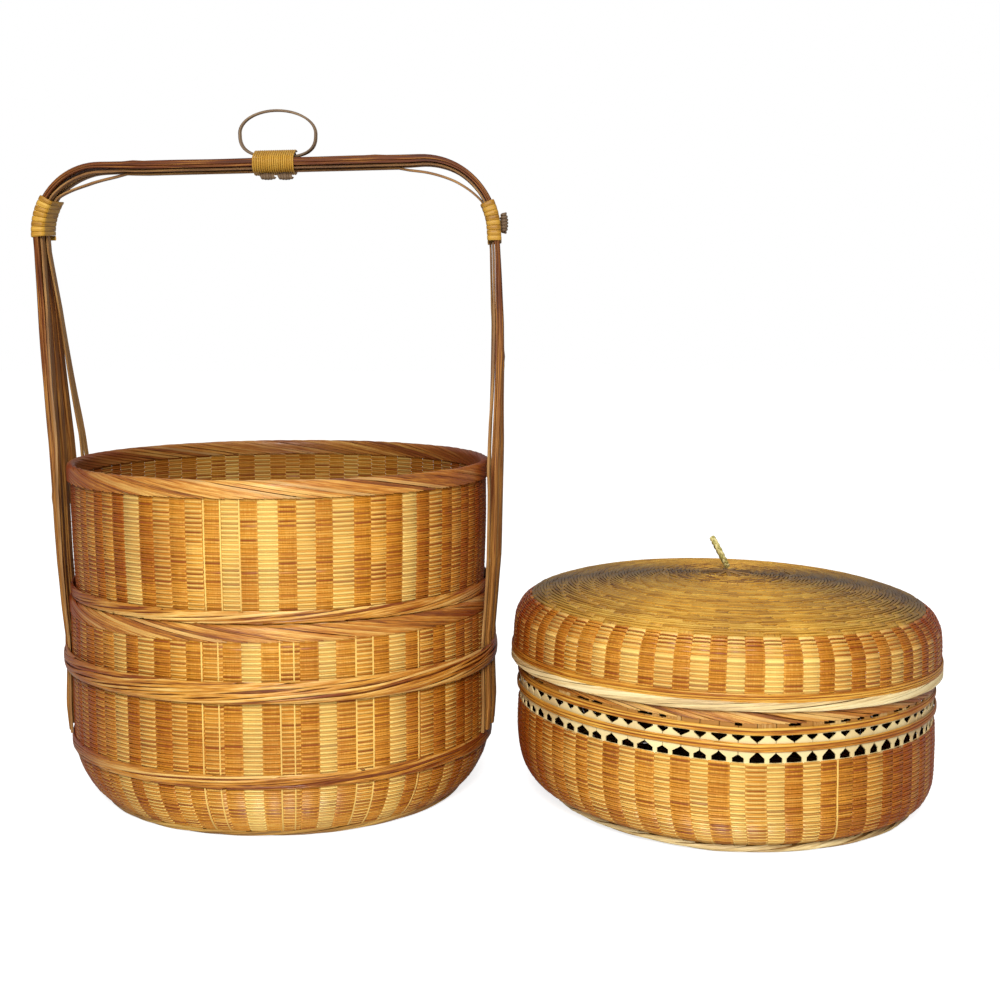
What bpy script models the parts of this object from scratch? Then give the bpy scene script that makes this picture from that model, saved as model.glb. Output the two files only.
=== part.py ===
"""Tiered bamboo food basket: a base tray with a fixed arched handle, a middle tray that
stacks on it, and a top tray with its domed lid, set down beside the stack.

Metres, +Z up. The origin is on the table, under the middle of the whole set.
"""

import math
from dataclasses import dataclass

import bmesh
import bpy
import numpy as np
from mathutils import Vector

# Clearance between pieces that touch, and the facets round a turned piece
GAP = 0.0003
ROUND_STEPS = 32

# Flat stakes round a tray: the middle wall, seen from both sides, has a facet for each
STAKE_COUNT = 68

# Where the two groups stand on the table
STACK_CENTRE = (-0.1580, 0.01405)
LIDDED_CENTRE = (0.1795, -0.02015)

# Woven walls, floors and the foot ring, alike on all three trays
WALL_THICKNESS = 0.0026
FLOOR_THICKNESS = 0.0026
FOOT_HEIGHT = 0.0060
FOOT_OUTER_RADIUS = 0.1345
FOOT_FLARE_RADIUS = 0.1390
FOOT_INNER_RADIUS = 0.1282

# Base tray: (outer radius, height) down the wall, and its bands
BASE_WALL = ((0.1602, 0.1460), (0.1602, 0.0950), (0.1598, 0.0500), (0.1575, 0.0340),
             (0.1535, 0.0240), (0.1475, 0.0140), (0.1400, 0.0063))
BASE_RIM_TOP = 0.1567
BASE_RIM_INNER, BASE_RIM_RADIUS = 0.1552, 0.1604
LOWER_WALE_LOW, LOWER_WALE_HIGH = 0.0410, 0.0510
LOWER_WALE_INNER, LOWER_WALE_RADIUS = 0.1602, 0.1618
LOWER_WALE_CHAMFER = 0.0006
UPPER_WALE_LOW, UPPER_WALE_HIGH = 0.1025, 0.1185
UPPER_WALE_INNER, UPPER_WALE_RADIUS = 0.1605, 0.1668
UPPER_WALE_CHAMFER = 0.0014

# Middle tray: its foot hangs inside the base's rim, its ledge rests on that rim
MIDDLE_FOOT = 0.1310
MIDDLE_FOOT_FLARE = 0.1384
MIDDLE_WALL = ((0.1576, 0.2445), (0.1561, 0.1690), (0.1545, 0.1575), (0.1465, 0.1455),
               (0.1392, 0.1373))
LEDGE_HIGH = 0.1675
LEDGE_INNER, LEDGE_RADIUS = 0.1571, 0.1600
LEDGE_CHAMFER = 0.0010
MIDDLE_RIM_TOP = 0.2556
MIDDLE_RIM_INNER, MIDDLE_RIM_RADIUS = 0.1532, 0.1598

# Top tray: woven unevenly, so its foot is off centre and its left side sits high
TOP_WALL = ((0.1560, 0.0665), (0.1566, 0.0550), (0.1565, 0.0440), (0.1556, 0.0310),
            (0.1533, 0.0210), (0.1482, 0.0125), (0.1368, 0.0063))
TOP_FOOT_FLARE = 0.1360
FOOT_DRIFT = 0.0060
DRIFT_HEIGHT = 0.0500
FOOT_LIFT_START = -0.0300
FOOT_LIFT_SLOPE, BAND_LIFT_SLOPE = 0.053, 0.063
LIFT_HEIGHTS = (0.0063, 0.0665)
RIM_TILT = math.radians(1.2)
OPENWORK_RADIUS = 0.1550
OPENWORK_THICKNESS = 0.0018
OPENWORK_LOW, OPENWORK_HIGH = 0.0668, 0.0886
OPENWORK_FACETS = 2 * ROUND_STEPS
# Rows of gaps in the openwork: (height of the middle, height of a gap, which way it points)
GAP_ROWS = ((0.0727, 0.0072, 1), (0.0853, 0.0048, -1))
GAP_BASE = 0.0100
GAP_CUT_IN, GAP_CUT_OUT = 0.006, 0.004
MID_BAND_LOW, MID_BAND_HIGH = 0.0766, 0.0826
MID_BAND_RADIUS = 0.1566
UPPER_BAND_HIGH = 0.0935
TOP_RIM_TOP = 0.1175
TOP_RIM_INNER, TOP_RIM_RADIUS = 0.1500, 0.1557

# Lid: the hoop inside it rests on the top tray's rim
LID_CROWN = ((0.0, 0.1730), (0.0600, 0.1715), (0.0900, 0.1686), (0.1180, 0.1643),
             (0.1400, 0.1578), (0.1530, 0.1498), (0.1580, 0.1400))
LID_SKIRT = ((0.1584, 0.1397), (0.1596, 0.1290), (0.1601, 0.1126))
LID_EDGE_LOW, LID_EDGE_HIGH = 0.1056, 0.1123
LID_EDGE_INNER, LID_EDGE_RADIUS = 0.1566, 0.1607
LID_EDGE_CHAMFER = 0.0014
HOOP_HIGH = 0.1232
HOOP_INNER, HOOP_RADIUS = 0.1490, 0.1568
STAR_ARMS = 8
STAR_RADIUS = 0.0210
STAR_ARM_WIDTH = 0.0050
STAR_THICKNESS = 0.0012
LOOP_THICKNESS = 0.0042
LOOP_LENGTH = 0.0245
LOOP_WIDTH = 0.0200
LOOP_LEAN = math.radians(-29)
LOOP_POINTS = 20
LOOP_PINCH = 0.35

# Handle: where the lines of the bundle's outer face meet, and the roundings there
LEFT_UPRIGHT_LINE = (-0.1723, 0.2700)
LEFT_CORNER = (-0.1835, 0.4765)
RIGHT_CORNER = (0.1640, 0.4848)
RIGHT_UPRIGHT_LINE = (0.1710, 0.3600)
LEFT_CORNER_RADIUS = 0.0525
RIGHT_CORNER_RADIUS = 0.0580
CORNER_STEPS = 8
BAR_STEPS = 10
UPRIGHT_HEIGHTS = (0.0520, 0.0720, 0.1000, 0.1220, 0.1420, 0.1650, 0.1900,
                   0.2150, 0.2350, 0.2500, 0.2700, 0.2850, 0.3200, 0.3600, 0.4000, 0.4120)
# (height, outer radius) of each upright's face
LEFT_FACE = ((0.0520, 0.1637), (0.0720, 0.1652), (0.1000, 0.1642), (0.1220, 0.1642),
             (0.1500, 0.1668), (0.1800, 0.1690), (0.2250, 0.1706), (0.2700, 0.1723))
RIGHT_FACE = ((0.0520, 0.1637), (0.0720, 0.1652), (0.1000, 0.1642), (0.1220, 0.1642),
              (0.1500, 0.1668), (0.1800, 0.1690), (0.2250, 0.1703), (0.2700, 0.1710),
              (0.3600, 0.1710))
# (height, thickness) of a split on the uprights, and (distance out, thickness) on the bar
UPRIGHT_THICKNESS = ((0.0520, 0.0028), (0.0720, 0.0038), (0.1000, 0.0032), (0.1220, 0.0032),
                     (0.1800, 0.0044), (0.2500, 0.0052), (0.3400, 0.0056), (0.3700, 0.0056),
                     (0.4120, 0.0040))
BAR_THICKNESS = ((0.1000, 0.0060), (0.1400, 0.0040))
SPLIT_WIDTH = 0.0081
SPLIT_PITCH = 0.0085
SPLIT_COUNT = 4
SPLIT_PLACES_LOW = (-0.035, -0.015, 0.005, 0.025)
FAN_HIGH, FAN_LOW = 0.412, 0.250
WRAP_HIGH, WRAP_LOW = 0.400, 0.270
SLIP_THICKNESS = 0.0018
INNER_SLIP_THICKNESS = 0.0016
# How far a slip stands off the bundle past the left and the right lashing, at most
OUTER_SLIP_BOWS = (0.0018, 0.0)
INNER_SLIP_BOWS = (0.0040, 0.0066)
BOW_REACH = 0.082
SLOT_ROOM = 0.0004
SLOT_DEPTH = 0.0060
# Where a split's curved skin meets its flat sides, as a share of its thickness
SKIN_SHARE = 0.25

# Corner lashings: flat cane, from one angle about the corner's centre to another
CANE_THICKNESS = 0.0009
LASH_TURNS = 8
LASH_GAP = 0.00055
LASH_CLEARANCE = 0.0005
LEFT_LASH_ANGLES = (math.radians(185.5), math.radians(146.3))
RIGHT_LASH_ANGLES = (math.radians(-7.4), math.radians(26.8))
LASH_ROUNDING = 0.0025
KNOT_SIZE = (0.0040, 0.0100, 0.0160)
KNOT_HEIGHT = 0.4328

# Centre lashing: fine round cane over the bar and the ring's foot
CENTRE_LASH_ENDS = (-0.0162, 0.0146)
CENTRE_LASH_TURNS = 19
FINE_CANE_RADIUS = 0.0006
# Heights over the bar's face: on the ring's foot, then down the bundle's side
LASH_TOP, LASH_SHOULDER, LASH_FLANK = 0.0056, 0.0004, -0.0066
LASH_HIP = (0.0133, -0.0094)
LASH_FOOT_HALF = 0.0050

# Hanging ring: one cane taken twice round, an oval with a flat foot
RING_CANE_RADIUS = 0.0011
RING_CENTRE = (0.0014, 0.4998)
RING_HALF_WIDTH = 0.0278
RING_RISE = 0.0166
RING_DROP = 0.0175
RING_FLATNESS = 2.8
RING_STRAND_PITCH = 0.0029
RING_STRAND_SHIFT = 0.0024
RING_TURNS = 2
POINTS_PER_TURN = 24
TAIL_SIZE = (0.0112, 0.0070, 0.0026)
TAIL_PLACES = ((-0.0054, "ring_tail_left"), (0.0078, "ring_tail_right"))
TAIL_SETBACK = -0.0100
TAIL_HEIGHT = 0.4671
LUMP_EDGE_SHARE = 0.3


def clear_scene():
    """Empties the file of objects."""
    for thing in list(bpy.data.objects):
        bpy.data.objects.remove(thing, do_unlink=True)


def new_collection(name):
    """Adds a collection to the scene."""
    group = bpy.data.collections.new(name)
    bpy.context.scene.collection.children.link(group)
    return group


def linear(channel):
    """One sRGB channel, 0 to 1, as linear light."""
    return channel / 12.92 if channel <= 0.04045 else ((channel + 0.055) / 1.055) ** 2.4


def finish(name, colour, roughness):
    """A plain Principled finish from an sRGB hex colour."""
    channels = [int(colour[place:place + 2], 16) / 255 for place in (0, 2, 4)]
    made = bpy.data.materials.new(name)
    made.use_nodes = True
    shader = made.node_tree.nodes["Principled BSDF"]
    shader.inputs["Base Color"].default_value = [linear(c) for c in channels] + [1.0]
    shader.inputs["Roughness"].default_value = roughness
    shader.inputs["Metallic"].default_value = 0.0
    return made


def make_finishes():
    """The finishes of aged split bamboo and cane."""
    return {
        "weave": finish("golden_bamboo_weave", "C07A28", 0.45),
        "band": finish("twined_bamboo_band", "A9662A", 0.5),
        "border": finish("plaited_red_bamboo", "B5662A", 0.45),
        "straw": finish("pale_straw_rim", "DDBE84", 0.6),
        "split": finish("dark_bamboo_split", "8A5A2C", 0.4),
        "slip": finish("grey_bamboo_slip", "93714A", 0.5),
        "cane": finish("yellow_cane", "C99A3A", 0.45),
        "ring": finish("brown_cane", "7C5A38", 0.5),
        "open": finish("cream_bamboo_stakes", "F0E2B8", 0.5),
        "crown": finish("lid_crown_weave", "A8803A", 0.5),
        "braid": finish("green_straw_braid", "B0A048", 0.6),
    }


def between(points, value):
    """Reads (place, amount) pairs at a place, with straight lines between them."""
    if value <= points[0][0]:
        return points[0][1]
    for (low, first), (high, second) in zip(points, points[1:]):
        if value <= high:
            return first + (second - first) * (value - low) / (high - low)
    return points[-1][1]


def share(value, start, end):
    """How far value has gone from start to end, held to 0 and 1."""
    return min(1.0, max(0.0, (value - start) / (end - start)))


def blend(first, second, part):
    """Goes from first to second as part goes from 0 to 1."""
    return first + (second - first) * part


def shade_round(mesh):
    """Smooth shading with the real edges kept sharp."""
    mesh.shade_smooth()
    mesh.set_sharp_from_angle(angle=math.radians(40))


def place_part(name, shape, group, material, parent, location=(0, 0, 0)):
    """Makes the named object for a shape, in its group, under its carrier."""
    shape.materials.append(material)
    part = bpy.data.objects.new(name, shape)
    part.location = location
    part.parent = parent
    group.objects.link(part)
    return part


def carrier(name, location, group):
    """An empty that carries a group of parts."""
    empty = bpy.data.objects.new(name, None)
    empty.location = location
    group.objects.link(empty)
    return empty


def mesh_from(form, name):
    """Turns a bmesh form into a named mesh and frees it."""
    bmesh.ops.recalc_face_normals(form, faces=form.faces)
    mesh = bpy.data.meshes.new(name)
    form.to_mesh(mesh)
    form.free()
    return mesh


def turned(name, outline, group, material, parent, steps=ROUND_STEPS):
    """Turns an outline of (radius, height) points about the carrier's upright axis.

    The outline runs down the outer side, then back up the inner side. One that starts on
    the axis ends on it too and stays open there."""
    on_axis = outline[0][0] == 0
    form = bmesh.new()
    corners = [form.verts.new((radius, 0, height)) for radius, height in outline]
    following = corners[1:] if on_axis else corners[1:] + corners[:1]
    for first, second in zip(corners, following):
        form.edges.new((first, second))
    part = place_part(name, mesh_from(form, name), group, material, parent)
    screw = part.modifiers.new("turn", "SCREW")
    screw.steps = steps
    screw.render_steps = steps
    screw.use_smooth_shade = True
    screw.use_merge_vertices = True
    screw.merge_threshold = 0.00001
    return part


def shell(outer, thickness):
    """Closes a wall's outer side, given top to bottom, with an inner side set in by thickness."""
    inner = []
    for place, (radius, height) in enumerate(outer):
        above = outer[max(place - 1, 0)]
        below = outer[min(place + 1, len(outer) - 1)]
        run = Vector((above[0] - below[0], above[1] - below[1])).normalized()
        if radius == 0:
            inner.append((0, height - thickness))
        elif place in (0, len(outer) - 1):
            inner.append((radius - thickness / run.y, height))
        else:
            inner.append((radius - thickness * run.y, height + thickness * run.x))
    return list(outer) + inner[::-1]


def hoop(inner, outer, low, high, chamfer):
    """A hoop's section with its outer corners taken off."""
    return [(inner, high), (outer - chamfer, high), (outer, high - chamfer),
            (outer, low + chamfer), (outer - chamfer, low), (inner, low)]


def plain_ring(inner, outer, low, high):
    """A ring's square section."""
    return [(inner, high), (outer, high), (outer, low), (inner, low)]


def rolled_rim(inner, outer, low, high):
    """A plaited border's section: straight below, rolled over at the top."""
    crown = (inner + outer) / 2
    roll = (outer - inner) / 2
    arc = [(crown + roll * math.sin(turn), high - roll + roll * math.cos(turn))
           for turn in [math.radians(angle) for angle in (-90, -35, 35, 90)]]
    return arc + [(outer, low), (inner, low)]


def foot_section(foot, flare):
    """The section of the straw rim that a tray stands on."""
    return [(FOOT_INNER_RADIUS, foot + FOOT_HEIGHT), (flare, foot + FOOT_HEIGHT),
            (FOOT_OUTER_RADIUS, foot), (FOOT_INNER_RADIUS, foot)]


def floor_section(foot):
    """A flat woven floor inside the foot ring, from the axis out and back."""
    high = foot + FOOT_HEIGHT - GAP
    low = high - FLOOR_THICKNESS
    radius = FOOT_INNER_RADIUS - GAP
    return [(0, high), (radius, high), (radius, low), (0, low)]


def weave_uneven(part):
    """Gives a part of the top tray its uneven weaving.

    The foot is drawn sideways, the left side sits high and the rim tilts as the lid does."""
    bpy.context.view_layer.update()
    evaluated = part.evaluated_get(bpy.context.evaluated_depsgraph_get())
    part.data = bpy.data.meshes.new_from_object(evaluated)
    part.modifiers.clear()
    for corner in part.data.vertices:
        x, height = corner.co.x, corner.co.z
        foot_lift = FOOT_LIFT_SLOPE * max(0.0, FOOT_LIFT_START - x)
        band_lift = BAND_LIFT_SLOPE * max(0.0, -x)
        low_lift = blend(foot_lift, band_lift, share(height, *LIFT_HEIGHTS))
        rim_lift = -x * math.tan(RIM_TILT)
        corner.co.z += blend(low_lift, rim_lift, share(height, UPPER_BAND_HIGH, TOP_RIM_TOP))
        corner.co.x += FOOT_DRIFT * share(height, DRIFT_HEIGHT, 0) ** 2


def lofted(name, sections, group, material, parent):
    """A closed solid through a run of sections with the same number of corners each."""
    form = bmesh.new()
    rings = [[form.verts.new(corner) for corner in corners] for corners in sections]
    for first, second in zip(rings, rings[1:]):
        for place, corner in enumerate(first):
            after = (place + 1) % len(first)
            form.faces.new((corner, first[after], second[after], second[place]))
    form.faces.new(rings[0][::-1])
    form.faces.new(rings[-1])
    mesh = mesh_from(form, name)
    shade_round(mesh)
    return place_part(name, mesh, group, material, parent)


def cane(name, points, radius, group, material, parent, cyclic=False):
    """A round cane along its points."""
    route = bpy.data.curves.new(name, "CURVE")
    route.dimensions = "3D"
    route.bevel_depth = radius
    route.bevel_resolution = 1
    route.use_fill_caps = True
    spline = route.splines.new("POLY")
    spline.points.add(len(points) - 1)
    for target, point in zip(spline.points, points):
        target.co = (*point, 1)
    spline.use_cyclic_u = cyclic
    return place_part(name, route, group, material, parent)


def rounded_block(name, size, location, turn, group, material, parent):
    """A lump with soft edges, turned about the Y axis."""
    form = bmesh.new()
    for corner in bmesh.ops.create_cube(form, size=1)["verts"]:
        corner.co = [across * reach for across, reach in zip(corner.co, size)]
    part = place_part(name, mesh_from(form, name), group, material, parent, location)
    part.rotation_euler.y = turn
    edges = part.modifiers.new("soft_edges", "BEVEL")
    edges.width = min(size) * LUMP_EDGE_SHARE
    edges.segments = 1
    return part


@dataclass
class Station:
    """A place along the arch: its outer point, the way inward, its side and its run.

    The side is -1 on the left upright, 1 on the right one and 0 on the corners and bar."""
    x: float
    z: float
    inward: Vector
    side: int
    run: float = 0.0


@dataclass
class Corner:
    """A rounded corner of the arch: its centre, radius and the angles where it starts and ends."""
    centre: Vector
    radius: float
    start: float
    end: float

    def place(self, angle, depth=0.0):
        """The point at an angle, set in from the outer face; past the arc it goes straight on."""
        held = min(max(angle, min(self.start, self.end)), max(self.start, self.end))
        outward = Vector((math.cos(held), math.sin(held)))
        onward = Vector((-math.sin(held), math.cos(held)))
        return self.centre + outward * (self.radius - depth) + onward * (angle - held) * self.radius


def rounded_corner(before, corner, after, radius):
    """The arc that rounds the corner between two straight lines of the arch."""
    before, corner, after = Vector(before), Vector(corner), Vector(after)
    going = (corner - before).normalized()
    leaving = (after - corner).normalized()
    cut = radius * math.tan(going.angle(leaving) / 2)
    outward = Vector((-going.y, going.x))
    last_outward = Vector((-leaving.y, leaving.x))
    centre = corner - going * cut - outward * radius
    start = math.atan2(outward.y, outward.x) % (2 * math.pi)
    end = math.atan2(last_outward.y, last_outward.x)
    return Corner(centre, radius, start, end)


LEFT_ARC = rounded_corner(LEFT_UPRIGHT_LINE, LEFT_CORNER, RIGHT_CORNER, LEFT_CORNER_RADIUS)
RIGHT_ARC = rounded_corner(LEFT_CORNER, RIGHT_CORNER, RIGHT_UPRIGHT_LINE, RIGHT_CORNER_RADIUS)


def upright_face(side, height):
    """How far the bundle's outer face is from the stack's axis at a height."""
    face = LEFT_FACE if side < 0 else RIGHT_FACE
    foot_height, foot_face = face[-1]
    if height <= foot_height:
        return between(face, height)
    corner = LEFT_CORNER if side < 0 else RIGHT_CORNER
    return blend(foot_face, abs(corner[0]), (height - foot_height) / (corner[1] - foot_height))


def arch_stations():
    """The stations from the foot of the left upright, over the bar, to the right foot."""
    left = [Station(-upright_face(-1, z), z, Vector((1, 0)), -1) for z in UPRIGHT_HEIGHTS]
    right = [Station(upright_face(1, z), z, Vector((-1, 0)), 1) for z in UPRIGHT_HEIGHTS[::-1]]
    corners = []
    for arc in (LEFT_ARC, RIGHT_ARC):
        bend = []
        for step in range(CORNER_STEPS + 1):
            angle = blend(arc.start, arc.end, step / CORNER_STEPS)
            point = arc.place(angle)
            inward = Vector((-math.cos(angle), -math.sin(angle)))
            bend.append(Station(point.x, point.y, inward, 0))
        corners.append(bend)
    start, end = corners[0][-1], corners[1][0]
    bar = [Station(blend(start.x, end.x, step / BAR_STEPS), blend(start.z, end.z, step / BAR_STEPS),
                   start.inward, 0) for step in range(1, BAR_STEPS)]
    stations = left + corners[0] + bar + corners[1] + right
    for before, station in zip(stations, stations[1:]):
        station.run = before.run + math.dist((before.x, before.z), (station.x, station.z))
    return stations


def fan_share(station):
    """0 where the bundle is tied, 1 where its splits have spread along the wall."""
    return share(station.z, FAN_HIGH, FAN_LOW) if station.side else 0.0


def split_thickness(station):
    """How thick a main split is at a station: pared where it bends and where it is held."""
    if station.side:
        return between(UPRIGHT_THICKNESS, station.z)
    return between(BAR_THICKNESS, abs(station.x))


def section(station, place, width, outer, inner, rounded):
    """A strip's section at a station, between two depths from the bundle's outer face.

    On the uprights the strip turns to lie along the round wall. A rounded strip keeps the
    curve of the bamboo's skin."""
    if station.side:
        radius = abs(station.x)
        wrap = share(station.z, WRAP_HIGH, WRAP_LOW)
        turn = wrap * math.asin(place / radius)
        reach = radius - wrap * (radius - math.sqrt(radius ** 2 - place ** 2))
        face = Vector((station.side * reach, place, station.z))
        inward = Vector((-station.side * math.cos(turn), -math.sin(turn), 0))
        along = Vector((-station.side * math.sin(turn), math.cos(turn), 0))
    else:
        face = Vector((station.x, place, station.z))
        inward = Vector((station.inward.x, 0, station.inward.y))
        along = Vector((0, 1, 0))
    half = width / 2
    skin = blend(outer, inner, SKIN_SHARE)
    if rounded:
        corners = [(-half, inner), (-half, skin), (-half / 2, outer),
                   (half / 2, outer), (half, skin), (half, inner)]
    else:
        corners = [(-half, inner), (-half, outer), (half, outer), (half, inner)]
    return [face + along * across + inward * depth for across, depth in corners]


def bow(station, stations, bows):
    """How far a slip stands off the bundle between a corner lashing and the bar."""
    height = 0.0
    spans = ((LEFT_ARC, LEFT_LASH_ANGLES[1], -1), (RIGHT_ARC, RIGHT_LASH_ANGLES[1], 1))
    for (arc, angle, side), amount in zip(spans, bows):
        tied = abs(arc.place(angle).x)
        nearest = max if side > 0 else min
        loose = [other.run for other in stations
                 if other.side == 0 and 0 < other.x * side < tied]
        held = [other.run for other in stations
                if other.side == 0 and other.x * side <= BOW_REACH]
        height += amount * math.sin(math.pi * share(station.run, nearest(loose), nearest(held)))
    return height


def main_strip(stations, high_place, low_place):
    """The sections of one of the four main splits."""
    sections = []
    for station in stations:
        place = blend(high_place, low_place, fan_share(station))
        sections.append(section(station, place, SPLIT_WIDTH, 0, split_thickness(station), True))
    return sections


@dataclass
class Slip:
    """A thin slip under the splits, from the tied bundle down to its place in the fan."""
    name: str
    place_high: float
    place_low: float
    width_high: float
    width_low: float
    layer: float
    thickness: float
    tuck_high: float
    tuck_low: float
    bows: tuple

    def sections(self, stations):
        """The slip's sections: under the splits where it is tied, beside them lower down."""
        made = []
        for station in stations:
            fan = fan_share(station)
            place = blend(self.place_high, self.place_low, fan)
            width = blend(self.width_high, self.width_low, fan)
            thick = split_thickness(station)
            tucked = share(station.z, self.tuck_high, self.tuck_low) if station.side else 0
            under = thick + self.layer + bow(station, stations, self.bows)
            outer = blend(under, thick - self.thickness, tucked)
            made.append(section(station, place, width, outer, outer + self.thickness, False))
        return made


SLIPS = (
    Slip("handle_slip_front", -0.0080, -0.0470, 0.0080, 0.0032, GAP, SLIP_THICKNESS,
         0.285, 0.235, OUTER_SLIP_BOWS),
    Slip("handle_slip_back", 0.0082, 0.0470, 0.0078, 0.0040, GAP, SLIP_THICKNESS,
         0.285, 0.235, OUTER_SLIP_BOWS),
    Slip("handle_slip_inner", 0.0, 0.0360, 0.0070, 0.0030, 2 * GAP + SLIP_THICKNESS,
         INNER_SLIP_THICKNESS, 0.270, 0.215, INNER_SLIP_BOWS),
)
SLIP_DEPTH = 2 * GAP + SLIP_THICKNESS + INNER_SLIP_THICKNESS
CORNER_DEPTH = BAR_THICKNESS[-1][1] + SLIP_DEPTH
BAR_DEPTH = BAR_THICKNESS[0][1] + SLIP_DEPTH
BUNDLE_HALF_WIDTH = SPLIT_PITCH * (SPLIT_COUNT - 1) / 2 + SPLIT_WIDTH / 2


def least_gap(name, rings, per_turn, thickness):
    """Prints the least gap between one turn of a winding and the next, on its points."""
    places = np.array([[tuple(point) for point in ring] for ring in rings])
    least = math.inf
    for place, ring in enumerate(places):
        later = places[place + per_turn // 2:].reshape(-1, 3)
        if len(later):
            apart = np.linalg.norm(later[None, :, :] - ring[:, None, :], axis=2)
            least = min(least, float(apart.min()) - thickness)
    print(f"{name}: least gap to itself {least * 1000:.2f} mm")


def run_lengths(loop):
    """The length run at each point of a closed loop, ending with the whole length."""
    lengths = [0.0]
    for first, second in zip(loop, loop[1:] + loop[:1]):
        lengths.append(lengths[-1] + math.dist(first, second))
    return lengths


def lashing_loop():
    """One turn of flat cane round the bundle: (depth, across) points and the ways out."""
    near = -LASH_CLEARANCE - CANE_THICKNESS / 2
    far = CORNER_DEPTH + LASH_CLEARANCE + CANE_THICKNESS / 2
    side = BUNDLE_HALF_WIDTH + LASH_CLEARANCE + CANE_THICKNESS / 2
    deep, shallow = far - LASH_ROUNDING, near + LASH_ROUNDING
    wide = side - LASH_ROUNDING
    roundings = ((deep, wide, 0), (shallow, wide, 90), (shallow, -wide, 180), (deep, -wide, 270))
    points, outward = [(far, 0.0)], [(1.0, 0.0)]
    for depth, across, first in roundings:
        for step in (0, 45, 90):
            turn = math.radians(first + step)
            out = (math.cos(turn), math.sin(turn))
            points.append((depth + LASH_ROUNDING * out[0], across + LASH_ROUNDING * out[1]))
            outward.append(out)
        if first == 90:
            points.append((near, 0.0))
            outward.append((-1.0, 0.0))
    return points, outward


def corner_lashing(name, arc, angles, group, material, parent):
    """Flat cane wound round the bundle along a rounded corner, as one unbroken strip."""
    points, outward = lashing_loop()
    lengths = run_lengths(points)
    inner_radius = arc.radius - CORNER_DEPTH - LASH_CLEARANCE - CANE_THICKNESS
    way = 1 if angles[1] > angles[0] else -1
    gap = LASH_GAP / inner_radius
    pitch = (abs(angles[1] - angles[0]) + gap) / (LASH_TURNS + 1)
    half = (pitch - gap) / 2
    sections = []
    for count in range(LASH_TURNS * len(points) + 1):
        whole, part = divmod(count, len(points))
        angle = angles[0] + way * (half + pitch * (whole + lengths[part] / lengths[-1]))
        corners = []
        for layer, shift in ((-1, -half), (1, -half), (1, half), (-1, half)):
            reach = layer * CANE_THICKNESS / 2
            point = arc.place(angle + shift, points[part][0] + outward[part][0] * reach)
            corners.append(Vector((point.x, points[part][1] + outward[part][1] * reach, point.y)))
        sections.append(corners)
    least_gap(name, sections, len(points), 0)
    return lofted(name, sections, group, material, parent)


def bar_height(x):
    """The height of the bar's outer face."""
    return blend(LEFT_CORNER[1], RIGHT_CORNER[1],
                 (x - LEFT_CORNER[0]) / (RIGHT_CORNER[0] - LEFT_CORNER[0]))


def centre_lashing_loop():
    """One turn of fine cane: (across, height over the bar's face) points.

    It goes over the ring's foot, down the bundle's sides and under its slips."""
    room = GAP + FINE_CANE_RADIUS
    side = BUNDLE_HALF_WIDTH + room
    foot_half = RING_STRAND_PITCH + RING_CANE_RADIUS + room
    low = -BAR_DEPTH - room - GAP
    half = [(foot_half, LASH_TOP), (side, LASH_SHOULDER), (side, LASH_FLANK), LASH_HIP,
            (LASH_FOOT_HALF, low)]
    return half + [(-across, height) for across, height in half[::-1]]


def centre_lashing(group, material, parent):
    """Fine cane wound along the middle of the bar."""
    loop = centre_lashing_loop()
    lengths = run_lengths(loop)
    start, end = CENTRE_LASH_ENDS
    points = []
    for count in range(CENTRE_LASH_TURNS * len(loop) + 1):
        whole, part = divmod(count, len(loop))
        x = blend(start, end, (whole + lengths[part] / lengths[-1]) / CENTRE_LASH_TURNS)
        across, height = loop[part]
        points.append((x, across, bar_height(x) + height))
    least_gap("centre_lashing", [[point] for point in points], len(loop), 2 * FINE_CANE_RADIUS)
    return cane("centre_lashing", points, FINE_CANE_RADIUS, group, material, parent)


def hanging_ring(group, material, parent):
    """The ring over the bar: twice round, one strand beside the next."""
    points = []
    total = RING_TURNS * POINTS_PER_TURN
    for count in range(total + 1):
        turn = 2 * math.pi * count / POINTS_PER_TURN
        sideways = -math.sin(turn)
        if math.cos(turn) > 0:
            height = -RING_DROP * (1 - abs(sideways) ** RING_FLATNESS) ** (1 / RING_FLATNESS)
        else:
            height = -RING_RISE * math.cos(turn)
        across = RING_STRAND_PITCH * RING_TURNS * (count / total - 0.5)
        shift = RING_STRAND_SHIFT * (count / total - 0.5)
        points.append((RING_CENTRE[0] + RING_HALF_WIDTH * sideways + shift, across,
                       RING_CENTRE[1] + height))
    least_gap("hanging_ring", [[point] for point in points], POINTS_PER_TURN,
              2 * RING_CANE_RADIUS)
    return cane("hanging_ring", points, RING_CANE_RADIUS, group, material, parent)


def subtract(part, cutter):
    """Cuts one shape out of a part and hides the cutter."""
    cut = part.modifiers.new("cut", "BOOLEAN")
    cut.operation = "DIFFERENCE"
    cut.solver = "EXACT"
    cut.object = cutter
    cutter.hide_render = True
    cutter.display_type = "WIRE"


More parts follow.
